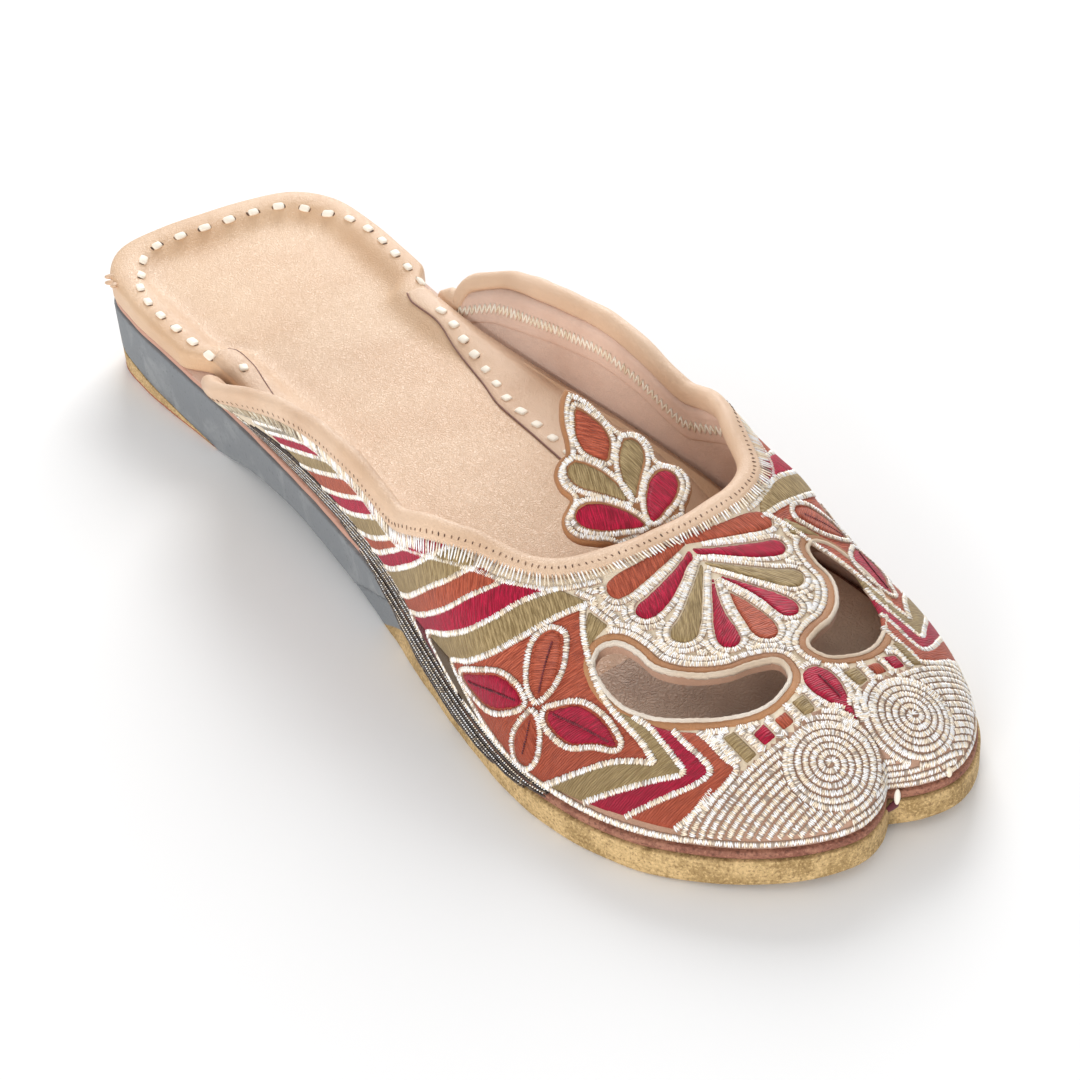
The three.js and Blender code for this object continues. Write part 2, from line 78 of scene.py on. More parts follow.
LENGTH = 249.0  # back of the heel to the tip of the toe lobes
BALL_WIDTH = 84.6
HEEL_WIDTH = 63.6
HEEL_HEIGHT = 18.4  # ground to the top of the midsole at the heel
BALL_HEIGHT = 7.0
INSTEP_HEIGHT = 30.5
TOE_SPRING = 2.0
ARCH_RISE = 3.6
HEEL_REST = 30.0  # station of the frame's origin
GAP = 0.3
WALL = 2.0
MIDSOLE = 1.5
MIDSOLE_INSET = 0.5
EDGE_ROUND = 0.8
UPPER_INSET = 1.2
NOTCH_DEPTH, NOTCH_HALF, NOTCH_FADE = 4.6, 10.5, 0.5
WING_BACK = 56.0  # station of the back end of the wings
WING_FRONT = 164.0  # station where the wing's edge meets the throat
LIFT_BACK, LIFT_FRONT = 7.0, 58.0
SKIVE_BACK, SKIVE_FRONT = 124.0, 143.0

# station, half width, station of the point on the centre line that the rib runs to
OUTLINE = [
    (244.4, 0, 214.5), (247.4, 4.6, 214.2), (249, 10.5, 213.4), (247.6, 16.4, 212.4),
    (242.6, 24, 210.8), (233, 32, 207.5), (219, 38.9, 202.5), (201, BALL_WIDTH / 2, 194.5),
    (181, 41.4, 180), (160, 39, 160), (140, 36, 140), (120, 34, 120), (100, 32.6, 100),
    (80, 31.4, 80), (60, 31.2, 60), (40, HEEL_WIDTH / 2, 46), (24, 31.7, 38), (11, 29.6, 33),
    (3.2, 23, 30), (0.4, 11, 28.5), (0, 0, 28),
]
THROAT = [(185, 0), (184.6, 10), (182.8, 19), (178.6, 26)]  # station, half width
CRESCENT = [
    (218.5, 3.6), (222.4, 4.4), (224.4, 8.5), (224.4, 13), (221.5, 18.3), (217, 23.2),
    (212.2, 26.8), (207, 28.8), (201.5, 29), (197, 27.6), (195.4, 25), (196.8, 22.2),
    (200.5, 20.9), (205, 20.5), (209, 18.6), (212.5, 15.4), (215, 11.6), (216.3, 7.2),
]
TAB_HALF = [
    (152.4, 0.3), (153.6, 2), (156.2, 4), (159.2, 5.2), (160.6, 6.2), (161, 8.4), (162.4, 10.4),
    (164.8, 10.9), (166.8, 10.2), (167.5, 11.4), (168.6, 13.6), (170.6, 14.4), (173, 13.6),
    (175.4, 11), (177.4, 8.6), (184, 8), (191, 8),
]
TAB_CROWN = 0.01
TAB_WALL = 1.8
BINDING_SECTION = [  # out from the leather, past its edge
    (0.7, GAP), (0.85, 1.8), (0.6, 3.4), (-0.3, 4.4), (-1.7, 4.4), (-2.6, 3.4), (-2.85, 1.8),
    (-2.7, GAP),
]


# ---- curves of the shoe


def reader(pairs):
    """A smooth curve through (station, value) pairs that never overshoots them."""
    x, y = np.array(pairs, float).T
    rise = np.diff(y) / np.diff(x)
    slope = np.r_[rise[0], np.zeros(len(x) - 2), rise[-1]]
    for i in range(1, len(x) - 1):
        if rise[i - 1] * rise[i] > 0:
            slope[i] = 2 * rise[i - 1] * rise[i] / (rise[i - 1] + rise[i])

    def read(value):
        value = np.clip(value, x[0], x[-1])
        i = np.clip(np.searchsorted(x, value) - 1, 0, len(x) - 2)
        span = x[i + 1] - x[i]
        t = (value - x[i]) / span
        bend = slope[i] * t * (1 - t) ** 2 - slope[i + 1] * t * t * (1 - t)
        return y[i] + (y[i + 1] - y[i]) * t * t * (3 - 2 * t) + span * bend

    return read


swing_at = reader([
    (100, 0), (130, -0.6), (160, -1.7), (185, -2.8), (205, -3), (222, -2.7), (238, -1.4), (LENGTH, 0)])
ground_at = reader([
    (0, 0), (58, 0), (76, 0.72 * ARCH_RISE), (96, ARCH_RISE), (120, 0.6 * ARCH_RISE), (144, 0),
    (222, 0), (236, 0.35 * TOE_SPRING), (LENGTH, TOE_SPRING)])
feather_at = reader([
    (0, HEEL_HEIGHT + 1), (20, HEEL_HEIGHT + 0.2), (40, HEEL_HEIGHT - 1.2), (58, 15.4), (80, 13.9),
    (105, 13.3), (130, 12.9), (150, 11.2), (170, 8.6), (190, BALL_HEIGHT), (215, BALL_HEIGHT + 0.2),
    (235, BALL_HEIGHT + 1), (LENGTH, BALL_HEIGHT + TOE_SPRING)])
ridge_at = reader([
    (50, 66), (120, 62), (140, 54), (152, 45), (163, 38), (172, 33.6), (181, INSTEP_HEIGHT + 0.4),
    (188, 28.6), (200, 25.6), (LENGTH, 20)])
fullness_at = reader([
    (50, 3), (110, 3.6), (150, 3.7), (176, 3.6), (187, 2.6), (199, 2), (225, 1.8), (LENGTH, 1.8)])
flare_at = reader([
    (50, 0.3), (62, 0.55), (75, 0.68), (85, 0.48), (95, 0.3), (105, 0.2), (115, 0.15), (125, 0.11),
    (140, 0.04), (152, 0), (LENGTH, 0)])
wing_at = reader([
    (54, 15.9), (58, 16.3), (62, 17.9), (75, 23.1), (90, 27.6), (105, 31), (119, 32.6), (131, 31.6),
    (140, 29.2), (146, 27.9), (152, 29.5), (158, 31.2), (WING_FRONT, 31.8)])
insole_edge_at = reader([
    (0, 0.2), (WING_BACK - 8.5, 0.2), (WING_BACK - 1.5, 4.2), (145, 4.2), (175, 5.6), (LENGTH, 5.6)])
insole_thickness_at = reader([
    (0, 7), (14, 5.8), (40, 4.6), (70, 3.8), (110, 3.2), (LENGTH, 2.6)])
tab_height_at = reader([
    (152, 47.3), (157, 42.8), (163, 37.8), (169, 33.6), (173, 31.2), (177, 29.1), (181, 27.3),
    (185, 25.9), (191, 23.7)])


def ease(value, start, end):
    """0 before start, 1 after end, and a smooth step between them."""
    t = np.clip((value - start) / (end - start), 0, 1)
    return t * t * (3 - 2 * t)


def unit(vectors):
    """The same vectors, each one long."""
    return vectors / np.maximum(np.linalg.norm(vectors, axis=-1, keepdims=True), 1e-9)


def spline(points, closed=False, steps=24):
    """A centripetal Catmull-Rom curve through the points, with steps to each span."""
    p = np.array(points, float)
    n = len(p)
    if closed:
        ahead, behind = np.roll(p, -1, 0), np.roll(p, 1, 0)
        spans = [(behind[i], p[i], ahead[i], ahead[(i + 1) % n]) for i in range(n)]
    else:
        padded = np.vstack([2 * p[0] - p[1], p, 2 * p[-1] - p[-2]])
        spans = [tuple(padded[i : i + 4]) for i in range(n - 1)]
    curve = []
    for p0, p1, p2, p3 in spans:
        d0, d1, d2 = (
            max(float(np.sum((b - a) ** 2)) ** 0.25, 1e-4) for a, b in ((p0, p1), (p1, p2), (p2, p3)))
        start = ((p1 - p0) / d0 - (p2 - p0) / (d0 + d1) + (p2 - p1) / d1) * d1
        end = ((p2 - p1) / d1 - (p3 - p1) / (d1 + d2) + (p3 - p2) / d2) * d1
        for t in np.arange(steps) / steps:
            curve.append(
                p1 + start * t + (3 * (p2 - p1) - 2 * start - end) * t * t
                + (2 * (p1 - p2) + start + end) * t**3)
    if not closed:
        curve.append(p[-1])
    return np.array(curve)


def lengths_along(curve):
    """Distance along a curve from its start to each of its points."""
    return np.r_[0, np.cumsum(np.linalg.norm(np.diff(curve, axis=0), axis=1))]


def read_off(at, run, field):
    """A field of vectors, given along a run, read off at other distances along it."""
    return np.stack([np.interp(at, run, column) for column in field.T], -1)


def spaced(curve, pitch, closed=False):
    """Points along a curve, a pitch apart."""
    curve = np.array(curve, float)
    if closed:
        curve = np.vstack([curve, curve[:1]])
    run = lengths_along(curve)
    count = max(int(round(run[-1] / pitch)), 2)
    at = np.linspace(0, run[-1], count + 1)
    return read_off(at[:-1] if closed else at, run, curve)


RIGHT_ROWS = [(station, -half, spine) for station, half, spine in OUTLINE[-2::-1]]
EDGE_CURVE = spline(OUTLINE + RIGHT_ROWS, steps=60)
EDGE_SHARE = lengths_along(EDGE_CURVE) / lengths_along(EDGE_CURVE)[-1]


def rib(s):
    """For a share s of the way round the sole from the toe: the edge point, the point on the
    centre line, the length between them, and the direction inwards."""
    s = np.asarray(s, float) % 1.0
    x, y, spine = (np.interp(s, EDGE_SHARE, EDGE_CURVE[:, k]) for k in range(3))
    edge = np.stack([x, y + swing_at(x)], -1)
    centre = np.stack([spine, 0 * spine], -1)
    inward = centre - edge
    length = np.linalg.norm(inward, axis=-1)
    return edge, centre, length, inward / length[..., None]


def share_at(station):
    """Share round the outline of a station on the left side."""
    s = np.linspace(0.1, 0.5, 4001)
    return float(np.interp(-station, -rib(s)[0][:, 0], s))


def upper_point(s, rise):
    """A point on the outside of the upper: s is round the outline, rise is up the section."""
    s, rise = np.broadcast_arrays(np.asarray(s, float), np.asarray(rise, float))
    edge, centre, _, inward = rib(s)
    start = edge + inward * UPPER_INSET
    notch = NOTCH_DEPTH * (1 - ease(np.abs(edge[..., 1]), 0, NOTCH_HALF))
    start[..., 0] += ease(rise, 0, NOTCH_FADE) * notch
    foot = feather_at(edge[..., 0]) + GAP
    power = fullness_at(edge[..., 0])
    angle = rise * np.pi / 2
    across, up = np.maximum(np.cos(angle), 0), np.sin(angle)
    radius = (across**power + up**power) ** (-1 / power)
    height = (ridge_at(centre[..., 0]) - foot) * up * radius
    start[..., 1] -= swing_at(edge[..., 0]) * up * radius
    part = (1 - across * radius)[..., None]
    plan = start * (1 - part) + centre * part
    lean = flare_at(edge[..., 0]) * height * np.minimum(1, across * 2)
    plan = plan - inward * lean[..., None]
    return np.concatenate([plan, (foot + height)[..., None]], -1)


def upper_normal(s, rise):
    """Outward normal of the upper."""
    step = 1e-3
    along = upper_point(s + step, rise) - upper_point(s - step, rise)
    up = upper_point(s, np.minimum(rise + step, 1 - 1e-4)) - upper_point(s, np.maximum(rise - step, 0))
    return unit(np.cross(along, up))


def wing_end(s):
    """Distance off the middle at which the topline crosses a line up the upper."""
    line = upper_point(s, np.linspace(0, 1, 2001))
    return float(line[np.argmax(line[:, 2] > wing_at(WING_FRONT)), 1])


WING_END_Y = {1: wing_end(share_at(WING_FRONT)), -1: wing_end(1 - share_at(WING_FRONT))}
THROAT_CURVE = spline(
    [(WING_FRONT, WING_END_Y[1])] + THROAT[::-1]
    + [(station, -half) for station, half in THROAT[1:]] + [(WING_FRONT, WING_END_Y[-1])], steps=30)


def throat_station(y):
    """Station of the throat's edge at a distance off the middle."""
    return np.interp(-y, -THROAT_CURVE[:, 1], THROAT_CURVE[:, 0])


def cut_away(points):
    """True where a point of the full upper is past the topline, so that it isn't there."""
    x, y, z = points[..., 0], points[..., 1], points[..., 2]
    wing = (x <= WING_FRONT) & (z > wing_at(x))
    inside = (y < WING_END_Y[1]) & (y > WING_END_Y[-1])
    return wing | (inside & (x < throat_station(y)) & (z > INSTEP_HEIGHT / 2))


def top_rise(s):
    """Rise at which the upper ends at the topline, for each s; 1 where it reaches the middle."""
    low, high = np.zeros_like(s), np.ones_like(s)
    for _ in range(30):
        middle = (low + high) / 2
        gone = cut_away(upper_point(s, middle))
        high, low = np.where(gone, middle, high), np.where(gone, low, middle)
    return np.where(low > 0.9999, 1.0, low)


def place(points):
    """Millimetres by station to metres in the part's frame."""
    return (np.asarray(points, float) - (HEEL_REST, 0, 0)) * MM


# the surface that sewing is laid on, once it has been measured
SURFACE = {}


# ---- meshes


def grid_faces(rows, columns, wrap_rows=False, wrap_columns=False):
    """Quads over a grid of points."""
    r, c = np.meshgrid(
        np.arange(rows if wrap_rows else rows - 1),
        np.arange(columns if wrap_columns else columns - 1), indexing="ij")
    r2, c2 = (r + 1) % rows, (c + 1) % columns
    corners = [r * columns + c, r2 * columns + c, r2 * columns + c2, r * columns + c2]
    return np.stack(corners, -1).reshape(-1, 4)


def tube_faces(rings, size):
    """Faces of a closed tube of rings of points, with both ends capped."""
    last = rings * size - 1
    ends = [list(range(size)), list(range(last, last - size, -1))]
    return grid_faces(rings, size, wrap_columns=True).tolist() + ends


def mesh_of(name, points, faces=()):
    """A mesh of points in mm by station, and faces."""
    mesh = bpy.data.meshes.new(name)
    mesh.from_pydata(place(points).tolist(), [], faces)
    return mesh


def linked(name, data):
    """A new object in the scene, of a mesh, a light or a camera."""
    made = bpy.data.objects.new(name, data)
    bpy.context.scene.collection.objects.link(made)
    return made


def as_object(name, mesh, merge=0.0):
    """An object of a mesh, with its doubles merged and its faces turned outwards."""
    shape = bmesh.new()
    shape.from_mesh(mesh)
    if merge:
        bmesh.ops.remove_doubles(shape, verts=shape.verts, dist=merge)
    bmesh.ops.recalc_face_normals(shape, faces=shape.faces)
    shape.to_mesh(mesh)
    shape.free()
    return linked(name, mesh)


def new_piece(
        name, points, faces, finishes, uv=None, face_material=None, slot=None, replaces=(), merge=1e-6):
    """A finished mesh object that rides on the root body. Points are in mm by station, and
    face_material gives the number of a finish for each face, or from the faces' middles."""
    if callable(face_material):
        face_material = face_material(np.array([np.mean(points[list(f)], axis=0) for f in faces]))
    mesh = mesh_of(name, points, [tuple(int(k) for k in f) for f in faces])
    for finish in finishes:
        mesh.materials.append(FINISH[finish])
    if uv is not None:
        loops = np.zeros(len(mesh.loops), np.int32)
        mesh.loops.foreach_get("vertex_index", loops)
        spots = np.asarray(uv, np.float32)[loops]
        mesh.uv_layers.new(name="UVMap").data.foreach_set("uv", spots.ravel())
    if face_material is not None:
        mesh.polygons.foreach_set("material_index", np.asarray(face_material, np.int32))
    mesh.polygons.foreach_set("use_smooth", np.ones(len(mesh.polygons), bool))
    return settle(as_object(name, mesh, merge), replaces)


def tube(name, rings, finish, **settings):
    """A finished piece of rings of points, with both ends capped."""
    return new_piece(name, rings.reshape(-1, 3), tube_faces(*rings.shape[:2]), [finish],
                     slot="upper_leather", **settings)


def settle(piece, replaces=()):
    """Puts a piece on the root body, and hides the nodes that it stands for."""
    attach(piece, "root")
    if replaces:
        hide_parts(*replaces)
    return piece


def plain(piece):
    """Applies a piece's modifiers, so that what is left is its mesh."""
    graph = bpy.context.evaluated_depsgraph_get()
    mesh = bpy.data.meshes.new_from_object(piece.evaluated_get(graph))
    piece.modifiers.clear()
    piece.data = mesh
    return piece


def carve(piece, cutters, operation):
    """Cuts a closed piece with closed cutters, which are then removed."""
    for cutter in cutters:
        change = piece.modifiers.new("carve", "BOOLEAN")
        change.operation, change.solver, change.object = operation, "EXACT", cutter
        plain(piece)
        bpy.data.objects.remove(cutter)
    return piece


def prism(name, loop, axis, low, high, finish):
    """A closed cutter: a loop of (station, other) drawn out along y or z, mm."""
    loop = np.array(loop, float)
    ends = []
    for level in (low, high):
        column = np.full(len(loop), level)
        order = (0, 2, 1) if axis == "y" else (0, 1, 2)
        ends.append(np.column_stack([loop, column])[:, order])
    n = len(loop)
    faces = [tuple(range(n)), tuple(range(2 * n - 1, n - 1, -1))]
    faces += [(i, n + i, n + (i + 1) % n, (i + 1) % n) for i in range(n)]
    mesh = mesh_of(name, np.vstack(ends), faces)
    mesh.materials.append(FINISH[finish])
    return as_object(name, mesh)


# ---- materials


def linear(hexcode):
    """An sRGB hex colour as linear RGBA."""
    parts = [int(hexcode[i : i + 2], 16) / 255 for i in (1, 3, 5)]
    return tuple(c / 12.92 if c <= 0.04045 else ((c + 0.055) / 1.055) ** 2.4 for c in parts) + (1.0,)


def deeper(colour, red, green, blue):
    """A tone of a colour, such as the painted shade that leather and thread take in their hollows."""
    return (colour[0] * red, colour[1] * green, colour[2] * blue, 1.0)


def per_metre(size_mm):
    """Texture scale at which one cell is this many millimetres across."""
    return 1 / (size_mm * MM)


def node(tree, kind, inputs=(), out=0, **settings):
    """Adds a node, of a shader unless its kind is written in full, with its settings and its inputs
    set or linked, and gives one of its outputs."""
    made = tree.nodes.new(kind if "Node" in kind else "ShaderNode" + kind)
    for key, value in settings.items():
        setattr(made, key, value)
    for socket, value in dict(inputs).items():
        if isinstance(value, bpy.types.NodeSocket):
            tree.links.new(value, made.inputs[socket])
        else:
            made.inputs[socket].default_value = value
    return made.outputs[out] if made.outputs else None


def start_material(name, roughness, **constants):
    """A named material with its constant sockets set, its tree, and the place on the object."""
    material = bpy.data.materials.new(name)
    material.use_nodes = True
    shader = material.node_tree.nodes["Principled BSDF"]
    shader.inputs["Roughness"].default_value = roughness
    for socket, value in constants.items():
        shader.inputs[socket.replace("_", " ")].default_value = value
    return material, material.node_tree, node(material.node_tree, "TexCoord", out="Object")


def dress(material, colour, layers, relief=None):
    """Lays colours over a first one: each layer is (what drives it, from, to, colour, and its share
    at from and at to, else 0 and 1). Relief is (height, strength, depth in mm)."""
    tree = material.node_tree
    shader = tree.nodes["Principled BSDF"]
    for driver, start, end, over, *shares in layers:
        limits = {0: driver, 1: start, 2: end, **dict(zip((3, 4), shares))}
        share = node(tree, "MapRange", limits, interpolation_type="SMOOTHSTEP")
        colour = node(tree, "Mix", {0: share, 6: colour, 7: over}, 2, data_type="RGBA")
    tree.links.new(colour, shader.inputs["Base Color"])
    if relief:
        height, strength, depth = relief
        bump = node(tree, "Bump", {"Strength": strength, "Distance": depth * MM, "Height": height})
        tree.links.new(bump, shader.inputs["Normal"])
    return material


def leather(name, face, shade, pore, wrinkle, roughness, depth, coat=0.0):
    """Vegetable-tanned leather: pores and fine wrinkles, with the colour deeper in broad clouds.
    Pore, wrinkle and depth of the grain are in mm."""
    material, tree, where = start_material(
        name, roughness, Coat_Weight=coat, Coat_Roughness=0.4, Sheen_Weight=0.08)
    clouds = node(tree, "TexNoise", {"Vector": where, "Scale": per_metre(22), "Detail": 3.0})
    pores = node(tree, "TexVoronoi", {"Vector": where, "Scale": per_metre(pore), "Randomness": 1.0})
    warped = node(tree, "TexNoise", {"Vector": where, "Scale": per_metre(wrinkle * 2.5), "Detail": 2.0}, 1)
    bent = node(tree, "Mix", {0: 0.012, 4: where, 5: warped}, 1, data_type="VECTOR")
    wrinkles = node(
        tree, "TexVoronoi", {"Vector": bent, "Scale": per_metre(wrinkle)}, feature="DISTANCE_TO_EDGE")
    valley = node(tree, "MapRange", {0: wrinkles, 2: 0.16}, interpolation_type="SMOOTHSTEP")
    grain = node(tree, "Math", {0: valley, 1: pores})
    # the colour deepens in broad clouds, and in the wrinkles' valleys as painted shade
    layers = [(clouds, 0.35, 0.68, shade), (valley, 0.0, 1.0, shade, 0.16, 0.0)]
    return dress(material, face, layers, (grain, 0.55, depth))


def cut_edge(name, face, shade, fleck, roughness=0.75, paint=None):
    """The cut edge of sole leather: fibres and glue lines run along the edge, with worn flecks.
    Paint is (colour, station, slope): the edge is painted behind that leaning line."""
    material, tree, where = start_material(name, roughness)
    along = node(tree, "UVMap", uv_map="UVMap")
    fibres = node(tree, "Mapping", {"Vector": along, "Scale": (0.35, 2.2, 1.0)})
    streaks = node(tree, "TexNoise", {"Vector": fibres, "Scale": 1.0, "Detail": 5.0, "Roughness": 0.65})
    patches = node(tree, "TexNoise",
                   {"Vector": where, "Scale": per_metre(7), "Detail": 4.0, "Roughness": 0.6})
    specks = node(tree, "TexNoise",
                  {"Vector": where, "Scale": per_metre(0.55), "Detail": 3.0, "Roughness": 0.7})
    layers = [
        (patches, 0.4, 0.62, shade), (streaks, 0.46, 0.66, shade, 0.0, 0.6),
        (specks, 0.34, 0.48, deeper(face, 1.3, 1.34, 1.4), 0.65, 0.0), (specks, 0.52, 0.66, fleck, 0.0, 0.75)]
    if paint:
        over, station, slope = paint
        split = node(tree, "SeparateXYZ", {0: where}).node.outputs
        leaning = node(tree, "Math", {0: split[2], 1: -slope, 2: split[0]}, operation="MULTIPLY_ADD")
        ragged = node(tree, "Math", {0: specks, 1: 1.6 * MM, 2: leaning}, operation="MULTIPLY_ADD")
        edge, blur = (station - HEEL_REST + 0.8) * MM, 0.4 * MM
        layers.append((ragged, edge - blur, edge + blur, over, 1.0, 0.0))
    rough = node(tree, "Math", {0: streaks, 1: specks})
    return dress(material, face, layers, (rough, 0.7, 0.35))


def silk_floss(name, face, shade):
    """Dyed silk floss in satin stitch: fine strands lie side by side, so light runs across them; the colour
    deepens as painted shade in the hollows between strands and towards the sole."""
    material, tree, where = start_material(
        name, 0.55, Sheen_Weight=0.08, Sheen_Roughness=0.4, Specular_IOR_Level=0.3)
    # the strands are 0.2 mm apart on the shoe and 0.42 mm here, so that they show
    strands = 0.42
    along = node(tree, "UVMap", uv_map="UVMap")
    drift = node(tree, "TexNoise", {"Vector": along, "Scale": 0.5, "Detail": 2.0})
    split = node(tree, "SeparateXYZ", {0: along}, 1)
    side = node(tree, "Math", {0: drift, 1: 0.9, 2: split}, operation="MULTIPLY_ADD")
    turns = node(tree, "Math", {0: side, 1: math.tau / strands}, operation="MULTIPLY")
    ridge = node(tree, "Math", {0: turns}, operation="SINE")
    stretched = node(tree, "Mapping", {"Vector": along, "Scale": (0.35, 2.6, 1.0)})
    tone = node(tree, "TexNoise", {"Vector": stretched, "Scale": 1.0, "Detail": 4.0, "Roughness": 0.6})
    height = node(tree, "SeparateXYZ", {0: where}, 2)
    # painted shade: the colour deepens in the hollows between strands, and lower down towards the sole
    layers = [(tone, 0.36, 0.66, face), (ridge, -1.0, -0.2, shade, 0.38, 0.0),
              (height, 7.5 * MM, 25 * MM, shade, 0.75, 0.0)]
    relief = node(tree, "Math", {0: ridge, 1: 0.5, 2: tone}, operation="MULTIPLY_ADD")
    return dress(material, shade, layers, (relief, 0.8, 0.14))


def metal_thread(name, bright, warm, dull, roughness, metallic):
    """Flat metal strip wound on cotton, or plain thread where it isn't metallic. Each stitch takes
    its own tone, from bright to warm to dull, so that the rows glitter instead of shading evenly."""
    material, tree, where = start_material(name, roughness, Metallic=metallic, Sheen_Weight=0.15)
    tone = node(tree, "Attribute", out="Fac", attribute_name="tone")
    wound = node(tree, "TexNoise", {"Vector": where, "Scale": per_metre(0.35), "Detail": 2.0})
    both = node(tree, "Math", {0: wound, 1: 0.5, 2: tone}, operation="MULTIPLY_ADD")
    return dress(material, bright, [(both, 0.55, 0.95, warm), (both, 1.0, 1.25, dull)], (wound, 0.5, 0.08))


def board(name, face, pale, dark):
    """Painted fibreboard: a matt grey skin with paler rubbed clouds and dark pits."""
    material, tree, where = start_material(name, 0.72)
    clouds = node(tree, "TexNoise", {
        "Vector": where, "Scale": per_metre(9), "Detail": 5.0, "Roughness": 0.6, "Distortion": 0.6})
    pits = node(tree, "TexNoise", {"Vector": where, "Scale": per_metre(0.9), "Detail": 3.0})
    rough = node(tree, "Math", {0: clouds, 1: pits})
    layers = [(clouds, 0.45, 0.68, pale), (pits, 0.6, 0.75, dark, 0.0, 0.55)]
    return dress(material, face, layers, (rough, 0.5, 0.25))


# ---- finishes of this shoe

FINISH = {}


